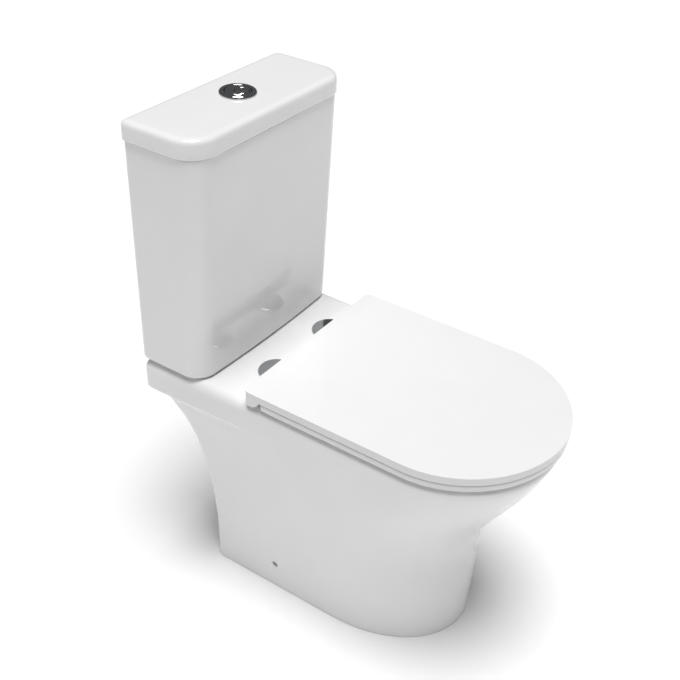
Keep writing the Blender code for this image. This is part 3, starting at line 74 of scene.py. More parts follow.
# ---------------------------------------------------------------- pan
# The pan is one casting of vitreous china, slip cast in plaster and fired with a thick white glaze. Its
# skin runs from the foot up over the rim, down the bowl and through the trap to the outlet spigot. The
# hollow inside the foot is open behind, and there the clay is bare.
pan_low, pan_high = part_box("pan")
RIM_HEIGHT = pan_high.z
RIM_FRONT = WALL_FACE - pan_low.y + 0.0014
SHELF_HALF_WIDTH = pan_high.x
FOOT_HALF_WIDTH = 0.1343
FOOT_REAR = 0.105
FOOT_FRONT = RIM_FRONT - 0.1104
FOOT_STRAIGHT_TO = FOOT_FRONT - 0.1845
RIM_HALF_WIDTH = 0.1765
RIM_STRAIGHT_TO = RIM_FRONT - 0.1695
SIDE_BLEND_END = FOOT_STRAIGHT_TO - 0.1075
SHELF_UNDERSIDE = RIM_HEIGHT - 0.0581
SHELF_LOWER_RADIUS = 0.007
FOOT_EDGE_RADIUS = 0.002
RIM_EDGE_RADIUS = 0.018
REAR_CORNER_RADIUS = 0.014
OPENING_HALF_WIDTH = 0.105
OPENING_TOP = SHELF_UNDERSIDE - 0.0284
FRONT_FLARE_START = 0.138
FRONT_FLARE_RISE = 0.345
FRONT_ROUNDNESS = 2.05
BOWL_HALF_WIDTH = 0.130
BOWL_REAR = 0.272
BOWL_FRONT = RIM_FRONT - 0.0405
BOWL_LIP_RADIUS = 0.008
SUMP_HEIGHT = RIM_HEIGHT - 0.2615
SUMP_HALF_WIDTH = 0.040
SUMP_REAR = 0.305
SUMP_FRONT = 0.400
TRAP_RADIUS = 0.030
TRAP_BEND = 0.043
TRAP_DIP_HEIGHT = SUMP_HEIGHT - 0.018
TRAP_WEIR_HEIGHT = TRAP_DIP_HEIGHT + 0.123
OUTLET_HEIGHT = TRAP_WEIR_HEIGHT - 0.085
OUTLET_END = 0.080
OUTLET_RADIUS = 0.042
DECK_THICKNESS = 0.020
SKIN_THICKNESS = 0.012
TRAP_THICKNESS = 0.008
AROUND = 128                       # points round each ring of a china skin
REAR_POINTS = 6                    # columns from the middle to the opening's edge


def sweep(share, power):
    """A rise from 0 to 1 that starts and ends gently."""
    share = min(max(share, 0.0), 1.0)
    rise = share ** power
    return rise / (rise + (1 - share) ** power)


def both_sides(half):
    """A closed ring of (x, forward) points from its half at +x, rear middle to front middle."""
    return half + [(-x, forward) for x, forward in half[-2:0:-1]]


def arc(centre_x, centre_forward, radius, start, end, steps):
    """Points of an arc in plan, after its first, with angles in degrees from +x towards the front."""
    points = []
    for index in range(1, steps + 1):
        angle = math.radians(start + (end - start) * index / steps)
        points.append((centre_x + radius * math.cos(angle), centre_forward + radius * math.sin(angle)))
    return points


def straight(first, last, steps):
    """Points of a straight stretch, after its first."""
    return [tuple(a + (b - a) * index / steps for a, b in zip(first, last)) for index in range(1, steps + 1)]


def round_front(half_width, start, end, roundness, steps):
    """The front of a D, after the point where it leaves the straight side."""
    points = []
    for index in range(1, steps + 1):
        angle = math.pi / 2 * index / steps
        across = half_width * max(math.cos(angle), 0.0) ** (2 / roundness) if index < steps else 0.0
        points.append((across, start + (end - start) * math.sin(angle) ** (2 / roundness)))
    return points


def pan_ring(height, flare, inset=0.0, shelf_inset=0.0):
    """The pan's plan at a height. flare is how far the back has swept out from foot to shelf."""
    share = min(max(height / RIM_HEIGHT, 0.0), 1.0)
    power = 1.85
    reach = (sweep((height - FRONT_FLARE_START) / FRONT_FLARE_RISE, power)
             / sweep((RIM_HEIGHT - FRONT_FLARE_START) / FRONT_FLARE_RISE, power))
    rear_inset = inset + shelf_inset
    rear_width = FOOT_HALF_WIDTH + (SHELF_HALF_WIDTH - FOOT_HALF_WIDTH) * flare - rear_inset
    side_width = FOOT_HALF_WIDTH + (RIM_HALF_WIDTH - FOOT_HALF_WIDTH) * share ** 1.5 - inset
    rear = FOOT_REAR * (1 - flare) + rear_inset
    straight_to = FOOT_STRAIGHT_TO + (RIM_STRAIGHT_TO - FOOT_STRAIGHT_TO) * reach
    front = FOOT_FRONT + (RIM_FRONT - FOOT_FRONT) * reach - inset
    radius = REAR_CORNER_RADIUS
    half = [(0.0, rear)]
    half += straight((0.0, rear), (OPENING_HALF_WIDTH, rear), REAR_POINTS)
    half += straight((OPENING_HALF_WIDTH, rear), (rear_width - radius, rear), 3)
    half += arc(rear_width - radius, rear + radius, radius, -90, 0, 6)
    side_start = rear + radius
    for index in range(1, 15):
        along = index / 14
        blend = sweep(along, 1.6)
        half.append((rear_width + (side_width - rear_width) * blend,
                     side_start + (SIDE_BLEND_END - side_start) * along))
    half += straight((side_width, SIDE_BLEND_END), (side_width, straight_to), 7)
    half += round_front(side_width, straight_to, front, FRONT_ROUNDNESS, 28)
    return both_sides(half)


def bowl_ring(height, grow=0.0):
    """The bowl's egg-shaped plan at a height."""
    share = min(max((RIM_HEIGHT - height) / (RIM_HEIGHT - SUMP_HEIGHT), 0.0), 1.0)
    half_width = SUMP_HALF_WIDTH + (BOWL_HALF_WIDTH - SUMP_HALF_WIDTH) * (1 - share ** 1.6) + grow
    rear = SUMP_REAR + (BOWL_REAR - SUMP_REAR) * (1 - share ** 2) - grow
    front = SUMP_FRONT + (BOWL_FRONT - SUMP_FRONT) * (1 - share ** 1.4) + grow
    middle = rear + (front - rear) * 0.45
    half = []
    steps = AROUND // 2
    for index in range(steps + 1):
        angle = math.pi * index / steps
        depth = middle - rear if index < steps / 2 else front - middle
        across = half_width * math.sin(angle) if 0 < index < steps else 0.0
        half.append((across, middle - depth * math.cos(angle)))
    return both_sides(half)


def lifted(ring, height):
    """A ring of plan points stood at one height, as points in space."""
    return [Vector((across, at(forward), height)) for across, forward in ring]


def pan_skin_rings():
    """The outer skin's rings, from the foot up to the deck, and how many rows lie below the opening's top."""
    rings = []
    for index in range(4):
        angle = math.pi / 2 * index / 4
        height = FOOT_EDGE_RADIUS * (1 - math.cos(angle))
        inset = FOOT_EDGE_RADIUS * (1 - math.sin(angle))
        rings.append(lifted(pan_ring(height, rear_flare(height), inset), height))
    for index in range(61):
        height = FOOT_EDGE_RADIUS + (OPENING_TOP - FOOT_EDGE_RADIUS) * index / 60
        rings.append(lifted(pan_ring(height, rear_flare(height)), height))
    rows_below_top = len(rings) - 1
    for index in range(1, 15):
        height = OPENING_TOP + (SHELF_UNDERSIDE - OPENING_TOP) * math.sin(math.pi / 2 * index / 14)
        inset = SHELF_LOWER_RADIUS * index / 14
        rings.append(lifted(pan_ring(height, rear_flare(height), 0.0, inset), height))
    for index in range(1, 7):
        angle = math.pi / 2 * index / 6
        height = SHELF_UNDERSIDE + SHELF_LOWER_RADIUS * (1 - math.cos(angle))
        rings.append(lifted(pan_ring(height, 1.0, 0.0, SHELF_LOWER_RADIUS * (1 - math.sin(angle))), height))
    edge_start = RIM_HEIGHT - RIM_EDGE_RADIUS
    shelf_start = SHELF_UNDERSIDE + SHELF_LOWER_RADIUS
    for index in range(1, 5):
        height = shelf_start + (edge_start - shelf_start) * index / 4
        rings.append(lifted(pan_ring(height, 1.0), height))
    for index in range(1, 13):
        angle = math.pi / 2 * index / 12
        height = edge_start + RIM_EDGE_RADIUS * math.sin(angle)
        rings.append(lifted(pan_ring(height, 1.0, RIM_EDGE_RADIUS * (1 - math.cos(angle))), height))
    return rings, rows_below_top


def rear_flare(height):
    """How far the back of the pan has swept out to the shelf, from 0 at the foot to 1."""
    share = min(max(height / SHELF_UNDERSIDE, 0.0), 1.0)
    return 1 - math.sqrt(1 - share ** 2.4)


def bowl_rings(deck_ring):
    """From the deck's outer ring over the flat, round the bowl's lip and down to the sump."""
    lip = lifted(bowl_ring(RIM_HEIGHT, BOWL_LIP_RADIUS), RIM_HEIGHT)
    rings = []
    for index in range(1, 9):
        share = index / 8
        rings.append([a.lerp(b, share) for a, b in zip(deck_ring, lip)])
    for index in range(1, 9):
        angle = math.pi / 2 * index / 8
        height = RIM_HEIGHT - BOWL_LIP_RADIUS * (1 - math.cos(angle))
        rings.append(lifted(bowl_ring(height, BOWL_LIP_RADIUS * (1 - math.sin(angle))), height))
    start = RIM_HEIGHT - BOWL_LIP_RADIUS
    sump_top = SUMP_HEIGHT + 0.028
    for index in range(1, 31):
        height = sump_top + (start - sump_top) * (1 - math.sin(math.pi / 2 * index / 30))
        rings.append(lifted(bowl_ring(height), height))
    return rings


def trap_rings():
    """Rings along the trap's route: under, over the weir, and out to the spigot's end."""
    dip = (SUMP_REAR - 0.010, TRAP_DIP_HEIGHT + TRAP_BEND)
    weir = (dip[0] - 2 * TRAP_BEND, TRAP_WEIR_HEIGHT - TRAP_BEND)
    last_bend = weir[1] - OUTLET_HEIGHT
    fall = (weir[0] - TRAP_BEND - last_bend, weir[1])
    route = []
    for centre, radius, start, end in ((dip, TRAP_BEND, 0, -180), (weir, TRAP_BEND, 0, 180),
                                       (fall, last_bend, 0, -90)):
        steps = round(abs(end - start) / 10)
        for index in range(steps + 1):
            angle = math.radians(start + (end - start) * index / steps)
            heading = angle + math.radians(90 if end > start else -90)
            route.append((centre[0] + radius * math.cos(angle), centre[1] + radius * math.sin(angle),
                          heading, TRAP_RADIUS))
    socket = fall[0]
    for index in range(1, 6):
        share = index / 5
        route.append((socket - 0.012 * share, OUTLET_HEIGHT, math.pi,
                      TRAP_RADIUS + (OUTLET_RADIUS - TRAP_RADIUS) * sweep(share, 1.5)))
    for index in range(1, 5):
        route.append((socket - 0.012 - (socket - 0.012 - OUTLET_END) * index / 4, OUTLET_HEIGHT, math.pi,
                      OUTLET_RADIUS))
    rings = []
    for forward, height, heading, radius in route:
        rearward = (math.sin(heading), -math.cos(heading))
        ring = []
        for index in range(AROUND):
            angle = 2 * math.pi * index / AROUND
            out = radius * math.cos(angle)
            ring.append(Vector((radius * math.sin(angle), at(forward + out * rearward[0]),
                                height + out * rearward[1])))
        rings.append(ring)
    return rings


def skin(rings, gone=None):
    """A grid rolled up through rings of points. gone(column, row) says which of its faces are left out."""
    form = bmesh.new()
    columns, rows = len(rings[0]), len(rings) - 1
    bmesh.ops.create_grid(form, x_segments=columns, y_segments=rows, size=0.5)
    if gone:
        away = [face for face in form.faces
                if gone(int((face.calc_center_median().x + 0.5) * columns),
                        int((face.calc_center_median().y + 0.5) * rows))]
        bmesh.ops.delete(form, geom=away, context="FACES")
    for vert in form.verts:
        column = round((vert.co.x + 0.5) * columns) % columns
        vert.co = rings[round((vert.co.y + 0.5) * rows)][column]
    bmesh.ops.remove_doubles(form, verts=form.verts, dist=0.000002)
    return form


def finished(form, name, material, body, replaced=(), sharp=35):
    """Turn a bmesh into a shaded piece that rides on a body and stands for CAD nodes."""
    mesh = bpy.data.meshes.new(name)
    form.to_mesh(mesh)
    form.free()
    mesh.materials.append(material)
    mesh.shade_smooth()
    mesh.set_sharp_from_angle(angle=math.radians(sharp))
    piece = bpy.data.objects.new(name, mesh)
    bpy.context.scene.collection.objects.link(piece)
    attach(piece, body)
    if replaced:
        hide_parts(*replaced)
    return piece


class Wire:
    """A shader socket that takes part in sums, in the node tree of one material."""

    def __init__(self, tree, socket):
        self.tree = tree
        self.socket = socket

    def node(self, kind, settings=None, **sockets):
        """Add a node: its settings first, then values or links by socket name."""
        made = self.tree.nodes.new(kind)
        for name, value in (settings or {}).items():
            setattr(made, name, value)
        for name, value in sockets.items():
            socket = made.inputs[int(name[1:])] if name[1:].isdigit() else made.inputs[name.replace("_", " ")]
            if isinstance(value, Wire):
                self.tree.links.new(value.socket, socket)
            else:
                socket.default_value = value
        return Wire(self.tree, made.outputs[0])

    def sum(self, operation, first, second):
        return self.node("ShaderNodeMath", {"operation": operation}, i0=first, i1=second)

    def __add__(self, other):
        return self.sum("ADD", self, other)

    __radd__ = __add__

    def __mul__(self, other):
        return self.sum("MULTIPLY", self, other)

    __rmul__ = __mul__

    def __sub__(self, other):
        return self.sum("SUBTRACT", self, other)

    def __rsub__(self, other):
        return self.sum("SUBTRACT", other, self)

    def between(self, low, high):
        """This value stretched so that low becomes 0 and high 1, and held between them."""
        return self.node("ShaderNodeMapRange", {"clamp": True}, Value=self, From_Min=low, From_Max=high)

    def mixed(self, first, second):
        """The first colour where this value is 0, the second where it is 1."""
        made = self.tree.nodes.new("ShaderNodeMix")
        made.data_type = "RGBA"
        self.tree.links.new(self.socket, made.inputs["Factor"])
        for socket, colour in ((made.inputs[6], first), (made.inputs[7], second)):
            if isinstance(colour, Wire):
                self.tree.links.new(colour.socket, socket)
            else:
                socket.default_value = (*colour, 1.0)
        return Wire(self.tree, made.outputs[2])


def surface(name, **constants):
    """A new Principled material, with its constant sockets set, and the object coordinates to build on."""
    material = bpy.data.materials.new(name)
    material.use_nodes = True
    tree = material.node_tree
    shader = tree.nodes["Principled BSDF"]
    for socket, value in constants.items():
        shader.inputs[socket.replace("_", " ")].default_value = value
    place = Wire(tree, tree.nodes.new("ShaderNodeTexCoord").outputs["Object"])
    return material, shader, place


def feed(shader, **wires):
    """Link wires to the shader's sockets by name."""
    for socket, wire in wires.items():
        wire.tree.links.new(wire.socket, shader.inputs[socket.replace("_", " ")])


def noise(place, scale, detail=2.0, roughness=0.5):
    """Noise over the object, from 0 to 1."""
    return place.node("ShaderNodeTexNoise", None, Vector=place, Scale=scale, Detail=detail,
                      Roughness=roughness)


def bumps(height, distance, strength=1.0):
    """Surface normals tilted by a height pattern."""
    return height.node("ShaderNodeBump", None, Height=height, Distance=distance, Strength=strength)


def glazed_china():
    """White glaze: clear gloss over a faintly uneven body, with a slow ripple and rare pinholes."""
    material, shader, place = surface("white_glaze", IOR=1.52, Specular_IOR_Level=0.55)
    cloud = noise(place, 9.0, 3.0)
    fine = noise(place, 70.0, 2.0)
    tone = cloud.between(0.3, 0.7)
    colour = tone.mixed((0.836, 0.838, 0.838), (0.860, 0.861, 0.858))
    specks = place.node("ShaderNodeTexVoronoi", {"feature": "F1"}, Vector=place, Scale=95.0)
    pinhole = 1.0 - specks.between(0.018, 0.030)
    colour = pinhole.mixed(colour, (0.70, 0.69, 0.66))
    rough = 0.045 + cloud * 0.03 + fine * 0.015
    ripple = noise(place, 14.0, 2.0) + fine * 0.10
    feed(shader, Base_Color=colour, Roughness=rough, Normal=bumps(ripple, 0.0005, 0.22))
    return material


def bare_clay():
    """Fired clay without glaze, inside the hollow and on the foot's underside."""
    material, shader, place = surface("bare_clay")
    grain = noise(place, 420.0, 4.0, 0.6)
    stain = noise(place, 16.0, 3.0)
    colour = stain.between(0.3, 0.7).mixed((0.70, 0.69, 0.66), (0.78, 0.77, 0.74))
    feed(shader, Base_Color=colour, Roughness=0.55 + grain * 0.3, Normal=bumps(grain, 0.0005, 0.7))
    return material


glaze = glazed_china()
clay = bare_clay()

outer_rings, opening_rows = pan_skin_rings()
inner_rings = bowl_rings(outer_rings[-1])
waste_rings = trap_rings()
last_bowl = inner_rings[-1]
throat_rings = []
for step in range(1, 5):
    throat_rings.append([a.lerp(b, sweep(step / 5, 1.4)) for a, b in zip(last_bowl, waste_rings[0])])
all_rings = outer_rings + inner_rings + throat_rings + waste_rings


def in_back_opening(column, row):
    """Whether a face of the skin lies in the opening behind the foot."""
    from_middle = min(column, AROUND - 1 - column)
    return row < opening_rows and from_middle < REAR_POINTS


pan = finished(skin(all_rings, in_back_opening), "pan_china", glaze, "root", ["pan"], sharp=60)
pan.data.materials.append(clay)
pan.data.flip_normals()
thickness = pan.vertex_groups.new(name="thickness")
trap_start = at(SUMP_REAR + 0.05)
for vert in pan.data.vertices:
    on_deck = abs(vert.co.z - RIM_HEIGHT) < 0.0005
    in_trap = vert.co.z < TRAP_WEIR_HEIGHT + TRAP_RADIUS + 0.001 and abs(vert.co.x) < OUTLET_RADIUS + 0.001 \
        and vert.co.y > trap_start and vert.co.y < at(OUTLET_END) + 0.001
    wall = DECK_THICKNESS if on_deck else TRAP_THICKNESS if in_trap else SKIN_THICKNESS
    thickness.add([vert.index], wall / DECK_THICKNESS, "REPLACE")
shell = pan.modifiers.new("walls", "SOLIDIFY")
shell.thickness = DECK_THICKNESS
shell.offset = -1
shell.vertex_group = "thickness"
shell.use_quality_normals = True
shell.material_offset = 1


def hidden_cutter(form, name):
    """A cutting form that isn't shown."""
    mesh = bpy.data.meshes.new(name)
    form.to_mesh(mesh)
    form.free()
    cutter = bpy.data.objects.new(name, mesh)
    bpy.context.scene.collection.objects.link(cutter)
    cutter.hide_render = True
    cutter.display_type = "WIRE"
    return cutter


def cut(piece, cutter, operation="DIFFERENCE"):
    """Cut a piece with another, exactly. The cutter goes wherever its piece goes."""
    cutter.parent = piece
    step = piece.modifiers.new(cutter.name, "BOOLEAN")
    step.operation = operation
    step.solver = "EXACT"
    step.object = cutter


def spun(profile, steps=64, closed=True):
    """A turned form about +Z: (radius, height) points, joined back to the first when it has a bore."""
    form = bmesh.new()
    verts = [form.verts.new((radius, 0.0, height)) for radius, height in profile]
    edges = [form.edges.new(pair) for pair in zip(verts, verts[1:])]
    if closed and profile[0][0] > 0 and profile[-1][0] > 0:
        edges.append(form.edges.new((verts[-1], verts[0])))
    bmesh.ops.spin(form, geom=verts + edges, cent=(0, 0, 0), axis=(0, 0, 1), angle=2 * math.pi,
                   steps=steps, use_merge=True)
    bmesh.ops.remove_doubles(form, verts=form.verts, dist=0.000002)
    bmesh.ops.recalc_face_normals(form, faces=form.faces)
    return form


def quarter(centre_radius, centre_height, radius, start, end, steps=5):
    """Points of a rounded edge in a turned profile, with angles in degrees from outwards to up."""
    points = []
    for index in range(steps + 1):
        angle = math.radians(start + (end - start) * index / steps)
        points.append((centre_radius + radius * math.cos(angle), centre_height + radius * math.sin(angle)))
    return points


crisp = pan.modifiers.new("crisp_edges", "EDGE_SPLIT")
crisp.split_angle = math.radians(60)

# The side holes take the fixing screws. The glaze rounds their rims over, so each is cut with a flared bit.
screw_low, screw_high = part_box("side_screw_right")
side_hole = (screw_low + screw_high) / 2
HOLE_RADIUS = 0.0055
HOLE_ROUNDING = 0.0035
for side in (-1, 1):
    bit_profile = [(0, 0.014)]
    bit_profile += [(HOLE_RADIUS + HOLE_ROUNDING, 0.014)]
    bit_profile += [(HOLE_RADIUS + HOLE_ROUNDING - HOLE_ROUNDING * math.sin(math.pi / 2 * step / 6),
                     0.0003 - HOLE_ROUNDING * (1 - math.cos(math.pi / 2 * step / 6))) for step in range(7)]
    bit_profile += [(HOLE_RADIUS, -0.03), (0, -0.03)]
    bit = spun(bit_profile, 40)
    bmesh.ops.rotate(bit, verts=bit.verts, cent=(0, 0, 0), matrix=Matrix.Rotation(side * math.pi / 2, 3, "Y"))
    side_width = FOOT_HALF_WIDTH + (RIM_HALF_WIDTH - FOOT_HALF_WIDTH) * (side_hole.z / RIM_HEIGHT) ** 1.5
    bmesh.ops.translate(bit, verts=bit.verts, vec=(side * side_width, side_hole.y, side_hole.z))
    cut(pan, hidden_cutter(bit, f"side_hole_bit_{side + 1}"))

# The water way is a flat tunnel cast under the deck. It takes the flush from the valve to the bowl's rim.
WATER_WAY_HALF_WIDTH = 0.058
WATER_WAY_HEIGHT = 0.061
WATER_WAY_REAR = 0.008
WATER_WAY_FRONT = BOWL_REAR - 0.006
WATER_WAY_TOP = RIM_HEIGHT - 0.003
WATER_WAY_ROUNDING = 0.010
water_way = bmesh.new()
bmesh.ops.create_cube(water_way, size=1.0)
bmesh.ops.scale(water_way, verts=water_way.verts,
                vec=(2 * WATER_WAY_HALF_WIDTH, WATER_WAY_FRONT - WATER_WAY_REAR, WATER_WAY_HEIGHT))
bmesh.ops.translate(water_way, verts=water_way.verts,
                    vec=(0, at((WATER_WAY_FRONT + WATER_WAY_REAR) / 2), WATER_WAY_TOP - WATER_WAY_HEIGHT / 2))
bmesh.ops.bevel(water_way, geom=water_way.edges[:], offset=WATER_WAY_ROUNDING, segments=4, profile=0.5,
                affect="EDGES", material=-1)
finished(water_way, "pan_water_way", clay, "root")

# The water leaves it through a wide slot in the bowl's rear wall. The slot is cut with a rounded block
# that starts inside the wall and ends in the open bowl.
SLOT_WIDTH = 0.070
SLOT_DEPTH = 0.050
SLOT_HEIGHT = 0.022
SLOT_ROUNDING = 0.006
SLOT_MIDDLE = BOWL_REAR + 0.016
SLOT_BELOW_RIM = 0.034
slot = bmesh.new()
bmesh.ops.create_cube(slot, size=1.0)
bmesh.ops.scale(slot, verts=slot.verts, vec=(SLOT_WIDTH, SLOT_DEPTH, SLOT_HEIGHT))
bmesh.ops.translate(slot, verts=slot.verts, vec=(0, at(SLOT_MIDDLE), RIM_HEIGHT - SLOT_BELOW_RIM))
bmesh.ops.bevel(slot, geom=slot.edges[:], offset=SLOT_ROUNDING, segments=5, profile=0.5, affect="EDGES",
                material=-1)
cut(pan, hidden_cutter(slot, "flush_slot_bit"))

# ---------------------------------------------------------------- cistern
# The cistern is a second casting, an open tank that tapers downwards a little, with a front that bows and
# a ground rim that carries the lid. Its floor has a hole for the flush valve's shank. It stands on the pan's
# shelf, and two coupling bolts pull it down.
tank_low, tank_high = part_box("cistern")
TANK_BOTTOM = tank_low.z
TANK_TOP = tank_high.z
TANK_HALF_WIDTH = tank_high.x
TANK_DEPTH = 0.1372
TANK_SIDE_TAPER = 0.0015
TANK_FRONT_TAPER = 0.0102
TANK_BOW = 0.0035
TANK_WALL = 0.009
TANK_CORNER_RADIUS = 0.035
TANK_REAR_RADIUS = 0.012
TANK_BOTTOM_RADIUS = 0.005
button_low, button_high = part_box("button_bezel")
BUTTON_FORWARD = WALL_FACE - (button_low.y + button_high.y) / 2


def box_ring(half_width, rear, front, rear_radius, front_radius, bow=0.0):
    """A rounded rectangle in plan whose front may bow out in the middle."""
    half = [(0.0, rear)]
    half += straight((0.0, rear), (half_width - rear_radius, rear), 10)
    half += arc(half_width - rear_radius, rear + rear_radius, rear_radius, -90, 0, 8)
    half += straight((half_width, rear + rear_radius), (half_width, front - front_radius), 10)
    half += arc(half_width - front_radius, front - front_radius, front_radius, 0, 90, 18)
    for index in range(1, 19):
        across = (half_width - front_radius) * (1 - index / 18)
        half.append((across, front + bow * (1 - (1 - index / 18) ** 2)))
    return both_sides(half)


def tank_ring(height, inset):
    """The tank's plan at a height."""
    share = (height - TANK_BOTTOM) / (TANK_TOP - TANK_BOTTOM)
    half_width = TANK_HALF_WIDTH - TANK_SIDE_TAPER * (1 - share) - inset
    front = TANK_DEPTH - TANK_FRONT_TAPER * (1 - share) - inset
    return box_ring(half_width, inset, front, max(TANK_REAR_RADIUS - inset, 0.002),
                    max(TANK_CORNER_RADIUS - inset, 0.002), TANK_BOW * (1 - 0.6 * share))


def bore_ring(radius):
    """A round hole on the valve's axis, with the same number of points as the other rings."""
    ring = []
    for index in range(AROUND):
        angle = 2 * math.pi * index / AROUND
        ring.append((radius * math.sin(angle), BUTTON_FORWARD - radius * math.cos(angle)))
    return ring


def tank_rings():
    """The tank's skin as a closed band, out along the bottom, up the side, over the rim and back inside."""
    rings = [lifted(bore_ring(0.030), TANK_BOTTOM)]
    for index in range(9):
        angle = math.pi / 2 * index / 8
        height = TANK_BOTTOM + TANK_BOTTOM_RADIUS * (1 - math.cos(angle))
        rings.append(lifted(tank_ring(height, TANK_BOTTOM_RADIUS * (1 - math.sin(angle))), height))
    side_bottom = TANK_BOTTOM + TANK_BOTTOM_RADIUS
    rim_radius = 0.003
    for index in range(1, 21):
        height = side_bottom + (TANK_TOP - rim_radius - side_bottom) * index / 20
        rings.append(lifted(tank_ring(height, 0.0), height))
    for index in range(1, 5):
        angle = math.pi / 2 * index / 4
        height = TANK_TOP - rim_radius * (1 - math.sin(angle))
        rings.append(lifted(tank_ring(height, rim_radius * (1 - math.cos(angle))), height))
    floor = TANK_BOTTOM + TANK_WALL
    for height, inset in ((TANK_TOP, TANK_WALL - 0.002), (TANK_TOP - 0.002, TANK_WALL),
                          (floor + 0.2, TANK_WALL), (floor + 0.012, TANK_WALL),
                          (floor + 0.004, TANK_WALL + 0.003), (floor, TANK_WALL + 0.010)):
        rings.append(lifted(tank_ring(height, inset), height))
    rings.append(lifted(bore_ring(0.030), floor))
    rings.append(rings[0])
    return rings


def closed_skin(rings):
    """A skin whose last ring is its first, with its faces turned outwards."""
    form = skin(rings)
    bmesh.ops.recalc_face_normals(form, faces=form.faces)
    return form


finished(closed_skin(tank_rings()), "cistern_tank", glaze, "root", ["cistern"], sharp=40)

# The cistern's lid is a shallow china cap with a flat top and a softly rounded edge. It overhangs the tank by
# a few millimetres and has one hole, for the flush button.
lid_low, lid_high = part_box("cistern_lid")
LID_HALF_WIDTH = lid_high.x
LID_FRONT = WALL_FACE - lid_low.y
LID_TOP = lid_high.z
LID_BOTTOM = lid_low.z
LID_WALL = 0.011
LID_CORNER_RADIUS = 0.0442
LID_EDGE_ACROSS = 0.012
LID_EDGE_DOWN = 0.010
LID_HOLE_RADIUS = 0.0242


def lid_ring(inset):
    """The lid's plan, drawn in by an inset."""
    return box_ring(LID_HALF_WIDTH - inset, inset, LID_FRONT - inset, max(0.012 - inset, 0.002),
                    max(LID_CORNER_RADIUS - inset, 0.002))


def lid_rings():
    """The lid's skin as a closed band, from the button's hole out over the edge and back underneath."""
    rings = [lifted(bore_ring(LID_HOLE_RADIUS), LID_TOP)]
    edge = lifted(lid_ring(LID_EDGE_ACROSS + 0.004), LID_TOP)
    for index in range(1, 7):
        rings.append([a.lerp(b, index / 6) for a, b in zip(rings[0], edge)])
    for index in range(13):
        angle = math.pi / 2 * index / 12
        height = LID_TOP - LID_EDGE_DOWN * (1 - math.cos(angle) ** 0.85)
        rings.append(lifted(lid_ring(LID_EDGE_ACROSS * (1 - math.sin(angle) ** 0.85)), height))
    for height, inset in ((LID_BOTTOM + 0.010, 0.0), (LID_BOTTOM + 0.002, 0.0), (LID_BOTTOM + 0.0006, 0.0006),
                          (LID_BOTTOM, 0.002), (LID_BOTTOM, LID_WALL - 0.0015),
                          (LID_BOTTOM + 0.0015, LID_WALL), (LID_TOP - LID_WALL - 0.003, LID_WALL),
                          (LID_TOP - LID_WALL, LID_WALL + 0.003)):
        rings.append(lifted(lid_ring(inset), height))
    rings.append(lifted(bore_ring(LID_HOLE_RADIUS), LID_TOP - LID_WALL))
    rings.append(rings[0])
    return rings


finished(closed_skin(lid_rings()), "cistern_lid_china", glaze, "root", ["cistern_lid"], sharp=45)

# ---------------------------------------------------------------- flush buttons
# The dual flush button is chrome plated plastic: a domed bezel screwed through the lid, a large button for
# the full flush and a small one for the half flush that sits in a well in the large one.


def chrome_plate(name, base, shine):
    """Bright chrome: a mirror with faint hazing and hairline wiping marks."""
    material, shader, place = surface(name, Metallic=1.0)
    haze = noise(place, 160.0, 3.0)
    streaks = noise(place.node("ShaderNodeMapping", None, Vector=place, Scale=(900.0, 60.0, 60.0)), 1.0, 2.0)
    colour = haze.between(0.3, 0.7).mixed(base, tuple(min(channel + 0.03, 1.0) for channel in base))
    feed(shader, Base_Color=colour, Roughness=shine + haze * 0.03 + streaks * 0.03,
         Normal=bumps(haze, 0.0001, 0.15))
    return material


chrome = chrome_plate("chrome", (0.62, 0.63, 0.65), 0.03)
BEZEL_TOP = button_high.z
BEZEL_RADIUS = button_high.x
BEZEL_BASE = LID_TOP + 0.0003
full_low, full_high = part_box("full_flush_button")
half_low, half_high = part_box("half_flush_button")
FULL_RADIUS = full_high.x
HALF_RADIUS = half_high.x
half_centre = (half_low + half_high) / 2

bezel = [(FULL_RADIUS + 0.0005, button_low.z), (FULL_RADIUS + 0.0005, BEZEL_TOP - 0.0016)]
bezel += quarter(FULL_RADIUS + 0.0017, BEZEL_TOP - 0.0012, 0.0012, 180, 90)
bezel += quarter(BEZEL_RADIUS - 0.0038, BEZEL_BASE + 0.0007, 0.0038, 88, 8, 10)
bezel += [(BEZEL_RADIUS, BEZEL_BASE), (FULL_RADIUS + 0.0025, BEZEL_BASE),
          (FULL_RADIUS + 0.0025, button_low.z)]
bezel_form = spun(bezel, 96)
bmesh.ops.translate(bezel_form, verts=bezel_form.verts, vec=(0, at(BUTTON_FORWARD), 0))
finished(bezel_form, "button_bezel_chrome", chrome, "root", ["button_bezel"])

full = [(0, full_high.z), (FULL_RADIUS * 0.35, full_high.z - 0.0001),
        (FULL_RADIUS * 0.6, full_high.z - 0.0004)]
full += quarter(FULL_RADIUS - 0.0036, full_high.z - 0.0042, 0.0036, 80, 0, 8)
full += [(FULL_RADIUS, full_low.z), (0, full_low.z)]
full_form = spun(full, 96)
bmesh.ops.translate(full_form, verts=full_form.verts, vec=(0, at(BUTTON_FORWARD), 0))
full_button = finished(full_form, "full_button_chrome", chrome, "full_button",
                       ["full_flush_button"])
well = [(0, full_high.z + 0.004), (HALF_RADIUS + 0.0027, full_high.z + 0.004)]
well += [(HALF_RADIUS + 0.0005 + 0.0014 * (1 - math.sin(math.pi / 2 * step / 5)),
          full_high.z - 0.0003 - 0.0016 * (1 - math.cos(math.pi / 2 * step / 5))) for step in range(6)]
well += [(HALF_RADIUS + 0.0005, full_low.z - 0.002), (0, full_low.z - 0.002)]
well_form = spun(well, 64)
bmesh.ops.translate(well_form, verts=well_form.verts, vec=(half_centre.x, half_centre.y, 0))
